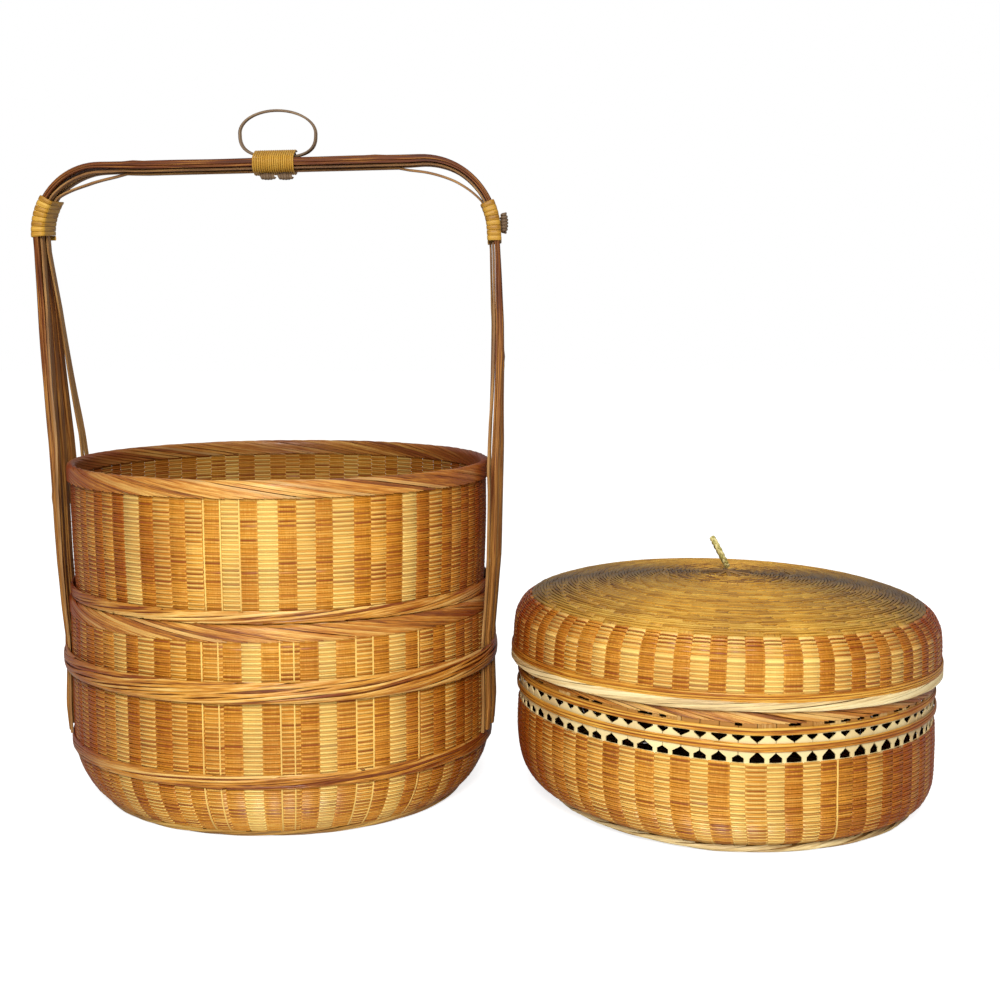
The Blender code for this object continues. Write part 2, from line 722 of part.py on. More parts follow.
def strip_slots(parent, cutters, material):
    """The room that every strip needs through the upper wale, as one cutter."""
    strips = [(place, SPLIT_WIDTH) for place in SPLIT_PLACES_LOW]
    strips += [(slip.place_low, slip.width_low) for slip in SLIPS]
    middle = (UPPER_WALE_LOW + UPPER_WALE_HIGH) / 2
    tall = 3 * (UPPER_WALE_HIGH - UPPER_WALE_LOW) / 2
    face = upright_face(1, middle)
    reach = face + SLOT_ROOM
    form = bmesh.new()
    for side in (-1, 1):
        for place, width in strips:
            turn = math.asin(place / face)
            outward = Vector((side * math.cos(turn), math.sin(turn), 0))
            along = Vector((-side * math.sin(turn), math.cos(turn), 0))
            for corner in bmesh.ops.create_cube(form, size=1)["verts"]:
                out = outward * (reach - SLOT_DEPTH / 2 + SLOT_DEPTH * corner.co.x)
                across = along * (width + 2 * SLOT_ROOM) * corner.co.y
                corner.co = out + across + Vector((0, 0, middle + tall * corner.co.z))
    return place_part("strip_slots", mesh_from(form, "strip_slots"), cutters, material, parent)


def stake_gaps(parent, cutters, material):
    """The triangular gaps between the openwork's stakes: their points meet the middle band."""
    form = bmesh.new()
    for number in range(0, OPENWORK_FACETS, 2):
        for row, (middle, tall, up) in enumerate(GAP_ROWS):
            turn = 2 * math.pi * (number + 0.5 + row) / OPENWORK_FACETS
            out = Vector((math.cos(turn), math.sin(turn), 0))
            along = Vector((-math.sin(turn), math.cos(turn), 0))
            tip = Vector((0, 0, middle + up * tall / 2))
            base = Vector((0, 0, middle - up * tall / 2))
            outline = (tip, base + along * GAP_BASE / 2, base - along * GAP_BASE / 2)
            near, far = [[form.verts.new(point + out * reach) for point in outline]
                         for reach in (OPENWORK_RADIUS - GAP_CUT_IN, OPENWORK_RADIUS + GAP_CUT_OUT)]
            form.faces.new(near)
            form.faces.new(far[::-1])
            for place in range(3):
                after = (place + 1) % 3
                form.faces.new((near[place], far[place], far[after], near[after]))
    return place_part("stake_gaps", mesh_from(form, "stake_gaps"), cutters, material, parent)


def tray_floor_and_foot(prefix, foot, flare, group, finishes, parent):
    """The foot ring and the floor inside it, which every tray has."""
    ring = turned(prefix + "_foot_ring", foot_section(foot, flare), group,
                  finishes["straw"], parent)
    floor = turned(prefix + "_floor", floor_section(foot), group, finishes["weave"], parent)
    return ring, floor


def base_tray(group, cutters, finishes, parent):
    """The base tray, with slots in its upper wale for the handle's strips."""
    tray_floor_and_foot("base", 0, FOOT_FLARE_RADIUS, group, finishes, parent)
    turned("base_wall", shell(BASE_WALL, WALL_THICKNESS), group, finishes["weave"], parent)
    turned("base_lower_wale", hoop(LOWER_WALE_INNER, LOWER_WALE_RADIUS, LOWER_WALE_LOW,
                                   LOWER_WALE_HIGH, LOWER_WALE_CHAMFER), group, finishes["band"], parent)
    wale = turned("base_upper_wale", hoop(UPPER_WALE_INNER, UPPER_WALE_RADIUS, UPPER_WALE_LOW,
                                          UPPER_WALE_HIGH, UPPER_WALE_CHAMFER),
                  group, finishes["band"], parent)
    subtract(wale, strip_slots(parent, cutters, finishes["band"]))
    turned("base_rim_border", rolled_rim(BASE_RIM_INNER, BASE_RIM_RADIUS,
                                         BASE_WALL[0][1] + GAP, BASE_RIM_TOP),
           group, finishes["border"], parent)


def handle(group, finishes, parent):
    """The arch of seven strips, its lashings and the hanging ring."""
    stations = arch_stations()
    for number in range(SPLIT_COUNT):
        high_place = SPLIT_PITCH * (number - (SPLIT_COUNT - 1) / 2)
        lofted(f"handle_split_{number + 1}",
               main_strip(stations, high_place, SPLIT_PLACES_LOW[number]),
               group, finishes["split"], parent)
    for slip in SLIPS:
        lofted(slip.name, slip.sections(stations), group, finishes["slip"], parent)
    corner_lashing("left_lashing", LEFT_ARC, LEFT_LASH_ANGLES, group, finishes["cane"], parent)
    corner_lashing("right_lashing", RIGHT_ARC, RIGHT_LASH_ANGLES, group, finishes["cane"], parent)
    lump = math.asin((KNOT_HEIGHT - RIGHT_ARC.centre.y) / RIGHT_ARC.radius)
    stand_off = LASH_CLEARANCE + CANE_THICKNESS + 2 * GAP + KNOT_SIZE[0] / 2
    knot = RIGHT_ARC.place(lump, -stand_off)
    rounded_block("right_lashing_knot", KNOT_SIZE, (knot.x, 0, knot.y), -lump,
                  group, finishes["ring"], parent)
    centre_lashing(group, finishes["cane"], parent)
    hanging_ring(group, finishes["ring"], parent)
    for x, name in TAIL_PLACES:
        rounded_block(name, TAIL_SIZE, (x, TAIL_SETBACK, TAIL_HEIGHT), 0,
                      group, finishes["ring"], parent)


def middle_tray(group, finishes, parent):
    """The middle tray, whose ledge rests on the base tray's rim."""
    tray_floor_and_foot("middle", MIDDLE_FOOT, MIDDLE_FOOT_FLARE, group, finishes, parent)
    turned("middle_wall", shell(MIDDLE_WALL, WALL_THICKNESS), group, finishes["weave"], parent,
           STAKE_COUNT)
    turned("middle_ledge_wale", hoop(LEDGE_INNER, LEDGE_RADIUS, BASE_RIM_TOP + GAP,
                                     LEDGE_HIGH, LEDGE_CHAMFER), group, finishes["band"], parent)
    turned("middle_rim_border", rolled_rim(MIDDLE_RIM_INNER, MIDDLE_RIM_RADIUS,
                                           MIDDLE_WALL[0][1] + GAP, MIDDLE_RIM_TOP),
           group, finishes["border"], parent)


def top_tray(group, cutters, finishes, parent):
    """The top tray, with its openwork band and a low part that leans."""
    ring, floor = tray_floor_and_foot("top", 0, TOP_FOOT_FLARE, group, finishes, parent)
    wall = turned("top_wall", shell(TOP_WALL, WALL_THICKNESS), group, finishes["weave"], parent)
    inner = OPENWORK_RADIUS - OPENWORK_THICKNESS
    openwork = turned("top_openwork", plain_ring(inner, OPENWORK_RADIUS, OPENWORK_LOW,
                                                 OPENWORK_HIGH),
                      group, finishes["open"], parent, OPENWORK_FACETS)
    subtract(openwork, stake_gaps(parent, cutters, finishes["open"]))
    mid = turned("top_mid_band", plain_ring(OPENWORK_RADIUS + GAP, MID_BAND_RADIUS, MID_BAND_LOW,
                                            MID_BAND_HIGH),
                 group, finishes["band"], parent, OPENWORK_FACETS)
    upper = turned("top_upper_band", plain_ring(inner, OPENWORK_RADIUS, OPENWORK_HIGH + GAP,
                                                UPPER_BAND_HIGH),
                   group, finishes["weave"], parent)
    rim = turned("top_rim_border", rolled_rim(TOP_RIM_INNER, TOP_RIM_RADIUS,
                                              UPPER_BAND_HIGH + GAP, TOP_RIM_TOP),
                 group, finishes["border"], parent)
    for part in (ring, floor, wall, openwork, mid, upper, rim):
        weave_uneven(part)


def centre_star(group, finishes, parent):
    """The crossed stakes at the middle of the lid, a flat star."""
    notch = STAR_ARM_WIDTH / 2 / math.sin(math.pi / STAR_ARMS)
    spread = math.atan2(STAR_ARM_WIDTH / 2, STAR_RADIUS)
    outline = []
    for arm in range(STAR_ARMS):
        middle = 2 * math.pi * arm / STAR_ARMS
        outline.append((STAR_RADIUS, middle - spread))
        outline.append((STAR_RADIUS, middle + spread))
        outline.append((notch, middle + math.pi / STAR_ARMS))
    flat = bpy.data.curves.new("lid_centre_star", "CURVE")
    flat.dimensions = "2D"
    flat.fill_mode = "BOTH"
    flat.extrude = STAR_THICKNESS / 2
    spline = flat.splines.new("POLY")
    spline.points.add(len(outline) - 1)
    for target, (reach, turn) in zip(spline.points, outline):
        target.co = (reach * math.cos(turn), reach * math.sin(turn), 0, 1)
    spline.use_cyclic_u = True
    place_part("lid_centre_star", flat, group, finishes["straw"], parent,
               (0, 0, LID_CROWN[0][1] + GAP + STAR_THICKNESS / 2))


def lid_loop(group, finishes, parent):
    """The braided loop that lifts the lid; it swings about its foot."""
    points = []
    for count in range(LOOP_POINTS):
        turn = 2 * math.pi * (count + 0.5) / LOOP_POINTS
        across = LOOP_WIDTH / 2 * math.sin(turn) * abs(math.sin(turn / 2)) ** LOOP_PINCH
        points.append((0, across, LOOP_LENGTH / 2 * (1 - math.cos(turn))))
    loop = cane("lid_loop", points, LOOP_THICKNESS / 2, group, finishes["braid"], parent, True)
    loop.location.z = LID_CROWN[0][1] + STAR_THICKNESS + 2 * GAP + LOOP_THICKNESS / 2
    loop.rotation_euler.y = LOOP_LEAN


def lid(group, finishes, parent):
    """The domed lid, its inner hoop and its lifting loop."""
    turned("lid_crown", shell(LID_CROWN, WALL_THICKNESS), group, finishes["crown"], parent)
    turned("lid_skirt", shell(LID_SKIRT, WALL_THICKNESS), group, finishes["weave"], parent)
    turned("lid_edge_border", hoop(LID_EDGE_INNER, LID_EDGE_RADIUS, LID_EDGE_LOW,
                                   LID_EDGE_HIGH, LID_EDGE_CHAMFER), group, finishes["straw"], parent)
    turned("lid_rest_hoop", plain_ring(HOOP_INNER, HOOP_RADIUS, TOP_RIM_TOP + GAP, HOOP_HIGH),
           group, finishes["band"], parent)
    centre_star(group, finishes, parent)
    lid_loop(group, finishes, parent)


def main():
    """Builds the whole set."""
    clear_scene()
    group = new_collection("tiered_bamboo_basket")
    cutters = new_collection("cutters")
    finishes = make_finishes()
    base = carrier("base_carrier", (*STACK_CENTRE, 0), group)
    middle = carrier("middle_tray_carrier", (*STACK_CENTRE, 0), group)
    top = carrier("top_tray_carrier", (*LIDDED_CENTRE, 0), group)
    lid_carrier = carrier("lid_carrier", (LIDDED_CENTRE[0] - TOP_RIM_TOP * math.sin(RIM_TILT),
                                          LIDDED_CENTRE[1],
                                          TOP_RIM_TOP * (1 - math.cos(RIM_TILT))), group)
    lid_carrier.rotation_euler.y = RIM_TILT
    base_tray(group, cutters, finishes, base)
    handle(group, finishes, base)
    middle_tray(group, finishes, middle)
    top_tray(group, cutters, finishes, top)
    lid(group, finishes, lid_carrier)


main()
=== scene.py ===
"""Looks of a tiered bamboo food basket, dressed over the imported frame.

Every woven part is made of its own strands: flat stakes, round wefts, twined bands and
plaited borders of split bamboo, in metres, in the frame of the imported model.
"""

from __future__ import annotations

import logging
import math
from dataclasses import dataclass, field
from enum import Enum

import bpy
import mathutils
import numpy as np
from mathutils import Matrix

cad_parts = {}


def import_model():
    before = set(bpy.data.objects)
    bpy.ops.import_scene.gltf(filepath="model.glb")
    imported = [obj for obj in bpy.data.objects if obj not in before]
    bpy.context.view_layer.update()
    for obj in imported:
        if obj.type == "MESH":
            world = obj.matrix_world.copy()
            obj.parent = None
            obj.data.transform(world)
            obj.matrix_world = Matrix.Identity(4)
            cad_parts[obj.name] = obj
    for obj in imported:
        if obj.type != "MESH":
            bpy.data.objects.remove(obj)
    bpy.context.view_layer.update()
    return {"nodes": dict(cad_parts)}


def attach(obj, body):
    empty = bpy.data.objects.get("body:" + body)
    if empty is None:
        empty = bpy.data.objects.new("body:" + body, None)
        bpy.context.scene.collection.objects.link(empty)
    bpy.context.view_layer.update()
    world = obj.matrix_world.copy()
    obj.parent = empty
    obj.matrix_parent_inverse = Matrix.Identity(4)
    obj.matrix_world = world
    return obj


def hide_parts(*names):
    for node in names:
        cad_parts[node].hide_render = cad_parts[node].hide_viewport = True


LOG = logging.getLogger("bamboo_basket")

# Where the two groups stand, and the facing side of each as the camera sees it
STACK_CENTRE = (-0.1580, 0.01405)
LIDDED_CENTRE = (0.1795, -0.02015)
STACK_FACING = math.radians(-83.6)
LIDDED_FACING = math.radians(-96.37)
TOP_RIM_TOP = 0.1175
RIM_TILT = math.radians(1.2)

# The weave that all trays share: stakes round a tray and the pitch of its rows
STAKES = 76
ROW_PITCH = 0.00161
TAU = 2 * math.pi


class Twist(Enum):
    """Which way a strand climbs as it goes round, seen from outside."""

    LEFT = -1
    RIGHT = 1


class Ends(Enum):
    """How a strand ends: joined to itself in a ring, or cut at both ends."""

    RING = "ring"
    CUT = "cut"


def linear(colour: str) -> tuple[float, float, float, float]:
    """Turns an sRGB hex colour to linear light.

    Args:
        colour: Six hex digits.

    Returns:
        Red, green, blue and alpha.
    """
    channels = [int(colour[place:place + 2], 16) / 255 for place in (0, 2, 4)]
    lit = [c / 12.92 if c <= 0.04045 else ((c + 0.055) / 1.055) ** 2.4 for c in channels]
    return (*lit, 1.0)


def add_node(tree: bpy.types.NodeTree, kind: str, links: dict | None = None,
             **settings: object) -> bpy.types.Node:
    """Adds a node, sets it and links its inputs.

    Args:
        tree: The node tree.
        kind: The node's type name.
        links: Input name or number to an output socket or a plain value.
        **settings: Attributes of the node.

    Returns:
        The new node.
    """
    made = tree.nodes.new(kind)
    for name, value in settings.items():
        setattr(made, name, value)
    for name, value in (links or {}).items():
        if isinstance(value, bpy.types.NodeSocket):
            tree.links.new(value, made.inputs[name])
        else:
            made.inputs[name].default_value = value
    return made


def deselect() -> None:
    """Leaves nothing selected."""
    for thing in bpy.context.selected_objects:
        thing.select_set(False)


def only(piece: bpy.types.Object) -> None:
    """Selects one object and makes it active."""
    deselect()
    piece.select_set(True)
    bpy.context.view_layer.objects.active = piece


def unit(vectors: np.ndarray) -> np.ndarray:
    """Brings vectors in the last axis to length 1."""
    length = np.linalg.norm(vectors, axis=-1, keepdims=True)
    return vectors / np.maximum(length, 1e-12)


def oval(width: float, thickness: float, sides: int = 6) -> np.ndarray:
    """A strand's oval section as (across, out) points."""
    turns = np.arange(sides) * TAU / sides
    return np.stack([np.cos(turns) * width / 2, np.sin(turns) * thickness / 2], axis=1)


def strip(width: float, thickness: float, crown: float = 0.0) -> np.ndarray:
    """A flat strip's section as (across, out) points, its outer face crowned."""
    half, deep = width / 2, thickness / 2
    return np.array([(-half, -deep), (-half, deep * 0.6), (-half * 0.86, deep), (0, deep + crown),
                     (half * 0.86, deep), (half, deep * 0.6), (half, -deep)])


def sweep(centres: np.ndarray, normals: np.ndarray, section: np.ndarray, ends: Ends,
          scale: np.ndarray | float = 1.0, lean: float = 0.0) -> np.ndarray:
    """Carries a section along many strands at once.

    Args:
        centres: Points of each strand, (strands, stations, 3).
        normals: The way out of the surface at each point.
        section: (across, out) points.
        ends: Whether each strand is a ring or is cut.
        scale: Width of the section at each station, against its own.
        lean: Slope of the section across its width, so strands lie like shingles.

    Returns:
        Points as (strands, stations, section, 3), with both closing copies or end caps.
    """
    if ends is Ends.RING:
        onward = np.roll(centres, -1, axis=1) - np.roll(centres, 1, axis=1)
    else:
        onward = np.gradient(centres, axis=1)
    onward = unit(onward)
    across = unit(np.cross(normals, onward))
    out = unit(np.cross(onward, across))
    wide = np.broadcast_to(np.asarray(scale, float), centres.shape[:2])[:, :, None, None]
    a = section[None, None, :, 0, None] * wide
    o = section[None, None, :, 1, None] + a * lean
    points = centres[:, :, None] + across[:, :, None] * a + out[:, :, None] * o
    points = np.concatenate([points, points[:, :, :1]], axis=2)
    if ends is Ends.RING:
        return np.concatenate([points, points[:, :1]], axis=1)
    first = np.broadcast_to(points[:, :1, :-1].mean(axis=2, keepdims=True), points[:, :1].shape)
    last = np.broadcast_to(points[:, -1:, :-1].mean(axis=2, keepdims=True), points[:, -1:].shape)
    return np.concatenate([first, points, last], axis=1)


@dataclass(frozen=True)
class Setting:
    """Where a group stands, as set down on the table."""

    centre: tuple[float, float]

    def place(self, points: np.ndarray) -> np.ndarray:
        """Moves points from the group's own axis to their place on the table."""
        return points + np.array([self.centre[0], self.centre[1], 0.0])


@dataclass(frozen=True)
class UnevenSetting(Setting):
    """The top tray: its foot is drawn sideways, and its left side sits high."""

    foot_drift: float = 0.0060
    drift_height: float = 0.0500
    foot_start: float = -0.0300
    foot_slope: float = 0.053
    band_slope: float = 0.063
    lift_heights: tuple[float, float] = (0.0063, 0.0665)
    rim_heights: tuple[float, float] = (0.0935, 0.1175)

    def place(self, points: np.ndarray) -> np.ndarray:
        """Weaves points unevenly and sets them on the table."""
        x, z = points[..., 0], points[..., 2]
        foot = self.foot_slope * np.maximum(0.0, self.foot_start - x)
        band = self.band_slope * np.maximum(0.0, -x)
        low, high = self.lift_heights
        rise = foot + (band - foot) * np.clip((z - low) / (high - low), 0, 1)
        low, high = self.rim_heights
        tilt = -x * math.tan(RIM_TILT)
        rise = rise + (tilt - rise) * np.clip((z - low) / (high - low), 0, 1)
        drift = self.foot_drift * np.clip(1 - z / self.drift_height, 0, 1) ** 2
        moved = np.stack([x + drift, points[..., 1], z + rise], axis=-1)
        return super().place(moved)


@dataclass(frozen=True)
class TiltedSetting(Setting):
    """The lid, which lies tilted on the top tray's rim."""

    def place(self, points: np.ndarray) -> np.ndarray:
        """Tilts points about the middle of the rim and sets them on the table."""
        x, z = points[..., 0], points[..., 2] - TOP_RIM_TOP
        cos, sin = math.cos(RIM_TILT), math.sin(RIM_TILT)
        moved = np.stack([x * cos + z * sin, points[..., 1], z * cos - x * sin + TOP_RIM_TOP],
                         axis=-1)
        return super().place(moved)


STACK = Setting(STACK_CENTRE)
TOP = UnevenSetting(LIDDED_CENTRE)
LID = TiltedSetting(LIDDED_CENTRE)


@dataclass(frozen=True)
class Profile:
    """The outer line of a woven wall, as (radius, height) points from its foot upwards."""

    points: tuple[tuple[float, float], ...]

    def curve(self, steps: int = 12) -> tuple[np.ndarray, np.ndarray]:
        """A smooth line through the points.

        Args:
            steps: Points per span.

        Returns:
            The run along the line, and its (radius, height) points.
        """
        knots = np.array(self.points)
        ahead = 2 * knots[-1] - knots[-2]
        behind = 2 * knots[0] - knots[1]
        full = np.vstack([behind, knots, ahead])
        line = []
        for place in range(1, len(full) - 2):
            a, b, c, d = full[place - 1:place + 3]
            for t in np.arange(steps) / steps:
                line.append(0.5 * (2 * b + (c - a) * t + (2 * a - 5 * b + 4 * c - d) * t ** 2
                                   + (3 * b - a - 3 * c + d) * t ** 3))
        line.append(knots[-1])
        line = np.array(line)
        run = np.concatenate([[0], np.cumsum(np.linalg.norm(np.diff(line, axis=0), axis=1))])
        return run, line

    def length(self) -> float:
        """The whole length of the line."""
        return float(self.curve()[0][-1])

    def at(self, place: np.ndarray) -> tuple[np.ndarray, np.ndarray]:
        """Reads the line at a run.

        Args:
            place: Runs along the line.

        Returns:
            The (radius, height) points and the outward (radius, height) normals.
        """
        run, line = self.curve()
        points = np.stack([np.interp(place, run, line[:, side]) for side in (0, 1)], axis=-1)
        reach = 0.0008
        ahead = np.stack([np.interp(place + reach, run, line[:, side]) for side in (0, 1)], -1)
        back = np.stack([np.interp(place - reach, run, line[:, side]) for side in (0, 1)], -1)
        along = unit(ahead - back)
        return points, np.stack([along[..., 1], -along[..., 0]], axis=-1)


def capped(points: np.ndarray) -> np.ndarray:
    """Closes strands' sections and adds an end cap at each end.

    Args:
        points: (strands, stations, section, 3).

    Returns:
        (strands, stations + 2, section + 1, 3).
    """
    points = np.concatenate([points, points[:, :, :1]], axis=2)
    caps = [np.broadcast_to(points[:, at, :-1].mean(axis=2, keepdims=True), points[:, at].shape)
            for at in (slice(0, 1), slice(-1, None))]
    return np.concatenate([caps[0], points, caps[1]], axis=1)


def end_values(values: np.ndarray) -> np.ndarray:
    """Repeats each strand's first and last value for its end caps."""
    return np.concatenate([values[:, :1], values, values[:, -1:]], axis=1)


def grid_of(strands: int, stations: int, around: int) -> bpy.types.Object:
    """Adds flat grids for a batch of strands, one over the next.

    Args:
        strands: How many strands.
        stations: Points along each strand.
        around: Points round its section, the closing one included.

    Returns:
        The mesh object; each grid's points run along the strand first.
    """
    deselect()
    bpy.ops.mesh.primitive_grid_add(x_subdivisions=stations - 1, y_subdivisions=around - 1,
                                    size=2)
    piece = bpy.context.object
    if strands > 1:
        copies = piece.modifiers.new("strands", "ARRAY")
        copies.count = strands
        copies.use_relative_offset = False
        copies.use_constant_offset = True
        copies.constant_offset_displace = (0, 0, 1)
        bpy.ops.object.modifier_apply(modifier=copies.name)
    return piece


def close_mesh(piece: bpy.types.Object) -> None:
    """Joins each strand's seam and ends, and turns its faces outwards."""
    only(piece)
    bpy.ops.object.mode_set(mode="EDIT")
    bpy.ops.mesh.select_all(action="SELECT")
    bpy.ops.mesh.remove_doubles(threshold=0.000002)
    bpy.ops.mesh.normals_make_consistent(inside=False)
    bpy.ops.object.mode_set(mode="OBJECT")


def strand_batch(name: str, points: np.ndarray, tone: np.ndarray,
                 pale: np.ndarray | float = 0.0, edge: float = 50.0) -> bpy.types.Object:
    """Makes one mesh of many strands alike in count, each with its own tone.

    The UV map holds metres along and round each strand, for the fibre of the bamboo.

    Args:
        name: The object's name.
        points: (strands, stations, around, 3), in the frame of the model.
        tone: 0 to 1 for each strand or each of its stations, dark to light.
        pale: 0 to 1 likewise, how much of it is young pale bamboo.
        edge: Angle in degrees past which an edge stays sharp.

    Returns:
        The mesh object, at the origin.
    """
    strands, stations, around, _ = points.shape
    piece = grid_of(strands, stations, around)
    piece.name = name
    mesh = piece.data
    mesh.name = name
    flat = np.empty(len(mesh.vertices) * 3, np.float32)
    mesh.vertices.foreach_get("co", flat)
    first = flat.reshape(-1, 3)[:stations * around]
    column = np.rint((first[:, 0] + 1) / 2 * (stations - 1)).astype(int)
    row = np.rint((first[:, 1] + 1) / 2 * (around - 1)).astype(int)
    ordered = points[:, column, row].astype(np.float32)
    mesh.vertices.foreach_set("co", ordered.ravel())
    middle = points[:, :, :-1].mean(axis=2)
    steps = np.linalg.norm(np.diff(middle, axis=1), axis=-1)
    along = np.concatenate([np.zeros((strands, 1)), np.cumsum(steps, axis=1)], axis=1)
    along = along + np.arange(strands)[:, None] * 0.377
    girth = points[:, stations // 2]
    round_it = np.concatenate([np.zeros((strands, 1)), np.cumsum(
        np.linalg.norm(np.diff(girth, axis=1), axis=-1), axis=1)], axis=1)
    round_it = round_it + np.arange(strands)[:, None] * 0.0291
    per_point = np.stack([along[:, column], round_it[:, row]], axis=-1).reshape(-1, 2)
    corner = np.empty(len(mesh.loops), np.int32)
    mesh.loops.foreach_get("vertex_index", corner)
    mesh.uv_layers.active.name = "fibre"
    mesh.uv_layers["fibre"].data.foreach_set("uv", per_point[corner].astype(np.float32).ravel())
    for label, amount in (("tone", tone), ("pale", pale)):
        values = np.asarray(amount, float)
        if values.ndim < 2:
            values = np.broadcast_to(values, (strands,))[:, None] * np.ones(stations)
        spread = values[:, column].astype(np.float32).ravel()
        mesh.attributes.new(label, "FLOAT", "POINT").data.foreach_set("value", spread)
    close_mesh(piece)
    bpy.ops.object.shade_smooth_by_angle(angle=math.radians(edge), keep_sharp_edges=False)
    mesh.update()
    return piece


def joined(name: str, parts: list[bpy.types.Object]) -> bpy.types.Object:
    """Joins meshes into the first one and names it."""
    deselect()
    for part in parts:
        part.select_set(True)
    bpy.context.view_layer.objects.active = parts[0]
    if len(parts) > 1:
        bpy.ops.object.join()
    parts[0].name = name
    parts[0].data.name = name
    return parts[0]


def dress(piece: bpy.types.Object, body: str, material: bpy.types.Material,
          nodes: tuple[str, ...]) -> bpy.types.Object:
    """Gives a finished piece its finish, its body and the solids that it stands for.

    Args:
        piece: The mesh object.
        body: The body that it moves with.
        material: Its finish.
        nodes: The solids that it replaces.

    Returns:
        The same piece.
    """
    piece.data.materials.clear()
    piece.data.materials.append(material)
    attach(piece, body)
    if nodes:
        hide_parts(*nodes)
    count = sum(len(face.vertices) - 2 for face in piece.data.polygons)
    LOG.info("%s: %d triangles on %s", piece.name, count, body)
    return piece


@dataclass(frozen=True)
class BambooFinish:
    """Split bamboo, shaved to strands and woven dry; age gives it a warm, uneven gloss.

    The colour runs from the dark to the light of the same culm, with its fibres drawn along
    each strand. Young strands stay pale. Smoke and handling leave brown patches. Flanks turned
    away from the facing side darken by painted shade mixed with some real age, and faces turned
    into the tray darken by painted shade."""

    name: str
    dark: str
    middle: str
    light: str
    pale: str = "F0D898"
    # Brown age colour of the patches, and also the colour of the painted flank shade
    patina_and_shade: str = "7A3A14"
    patina_share: float = 0.35
    # Painted flank shade, partly real age: its share and the facing range it fades over
    flank_shade_share: float = 0.0
    flank_shade: tuple[float, float] = (0.25, 0.93)
    # Painted shade on faces turned into the tray: its share and its dark brown colour
    inner_shade_share: float = 0.42
    inner_shade: str = "54280E"
    centre: tuple[float, float] = STACK_CENTRE
    facing: float = STACK_FACING
    roughness: float = 0.42
    fibre_mm: float = 0.9
    fibre_depth: float = 0.30
    streak_mm: float = 16.0
    sheen: float = 0.0
    coat: float = 0.08
    specular: float = 0.35

    def make(self) -> bpy.types.Material:
        """Builds the material.

        Returns:
            The procedural material.
        """
        made = bpy.data.materials.new(self.name)
        made.use_nodes = True
        tree = made.node_tree
        shader = tree.nodes["Principled BSDF"]
        tone = add_node(tree, "ShaderNodeAttribute", attribute_name="tone")
        pale = add_node(tree, "ShaderNodeAttribute", attribute_name="pale")
        fibre_map = add_node(tree, "ShaderNodeUVMap", uv_map="fibre")
        place = add_node(tree, "ShaderNodeTexCoord")
        # Fibres run the strand's length: long along it, fine across it
        stretched = add_node(tree, "ShaderNodeMapping", {
            "Vector": fibre_map.outputs["UV"],
            "Scale": (1000 / self.streak_mm, 1000 / self.fibre_mm, 1.0)})
        fibre = add_node(tree, "ShaderNodeTexNoise", {
            "Vector": stretched.outputs["Vector"], "Scale": 1.0, "Detail": 3.0,
            "Roughness": 0.6})
        shifted = add_node(tree, "ShaderNodeMath", {
            0: fibre.outputs["Fac"], 1: 0.5}, operation="SUBTRACT")
        drawn = add_node(tree, "ShaderNodeMath", {
            0: shifted.outputs[0], 1: self.fibre_depth * 3.0, 2: tone.outputs["Fac"]},
            operation="MULTIPLY_ADD")
        ramp = add_node(tree, "ShaderNodeValToRGB", {"Fac": drawn.outputs[0]})
        stops = ramp.color_ramp.elements
        stops[0].position, stops[0].color = 0.08, linear(self.dark)
        stops[1].position, stops[1].color = 0.92, linear(self.light)
        middle = stops.new(0.5)
        middle.color = linear(self.middle)
        # Young pale strands, a little darker where their fibres show
        pale_fibre = add_node(tree, "ShaderNodeMix", {
            "Factor": fibre.outputs["Fac"], "A": linear(self.pale), "B": linear(self.light)},
            data_type="RGBA")
        mixed = add_node(tree, "ShaderNodeMix", {
            "Factor": pale.outputs["Fac"], "A": ramp.outputs["Color"],
            "B": pale_fibre.outputs[2]}, data_type="RGBA")
        # Patina in soft patches of about 45 mm
        patches = add_node(tree, "ShaderNodeTexNoise", {
            "Vector": place.outputs["Object"], "Scale": 1000 / 45, "Detail": 2.0})
        patch = add_node(tree, "ShaderNodeMapRange", {
            "Value": patches.outputs["Fac"], "From Min": 0.35, "From Max": 0.75,
            "To Min": 0.0, "To Max": self.patina_share})
        amount = patch.outputs["Result"]
        if self.flank_shade_share:
            # Painted shade, partly real age: flanks turned away from the facing side are darkened
            # more than the face
            turned = add_node(tree, "ShaderNodeMapping", {
                "Vector": place.outputs["Object"],
                "Location": (-self.centre[0], -self.centre[1], 0.0)})
            flat = add_node(tree, "ShaderNodeVectorMath", {
                0: turned.outputs["Vector"], 1: (1.0, 1.0, 0.0)}, operation="MULTIPLY")
            outward = add_node(tree, "ShaderNodeVectorMath", {0: flat.outputs["Vector"]},
                               operation="NORMALIZE")
            face = add_node(tree, "ShaderNodeVectorMath", {
                0: outward.outputs["Vector"],
                1: (math.cos(self.facing), math.sin(self.facing), 0.0)},
                operation="DOT_PRODUCT")
            facing = add_node(tree, "ShaderNodeMath", {0: face.outputs["Value"]},
                              operation="ABSOLUTE")
            flank_shade = add_node(tree, "ShaderNodeMapRange", {
                "Value": facing.outputs[0], "From Min": self.flank_shade[0], "From Max": self.flank_shade[1],
                "To Min": self.flank_shade_share, "To Max": 0.0})
            both = add_node(tree, "ShaderNodeMath", {
                0: patch.outputs["Result"], 1: flank_shade.outputs["Result"]}, operation="ADD",
                use_clamp=True)
            # Pale strands get less of the brown patches and of the painted flank shade
            pale_relief = add_node(tree, "ShaderNodeMath", {
                0: pale.outputs["Fac"], 1: -0.3, 2: 1.0}, operation="MULTIPLY_ADD")
            kept = add_node(tree, "ShaderNodeMath", {0: both.outputs[0], 1: pale_relief.outputs[0]},
                            operation="MULTIPLY")
            amount = kept.outputs[0]
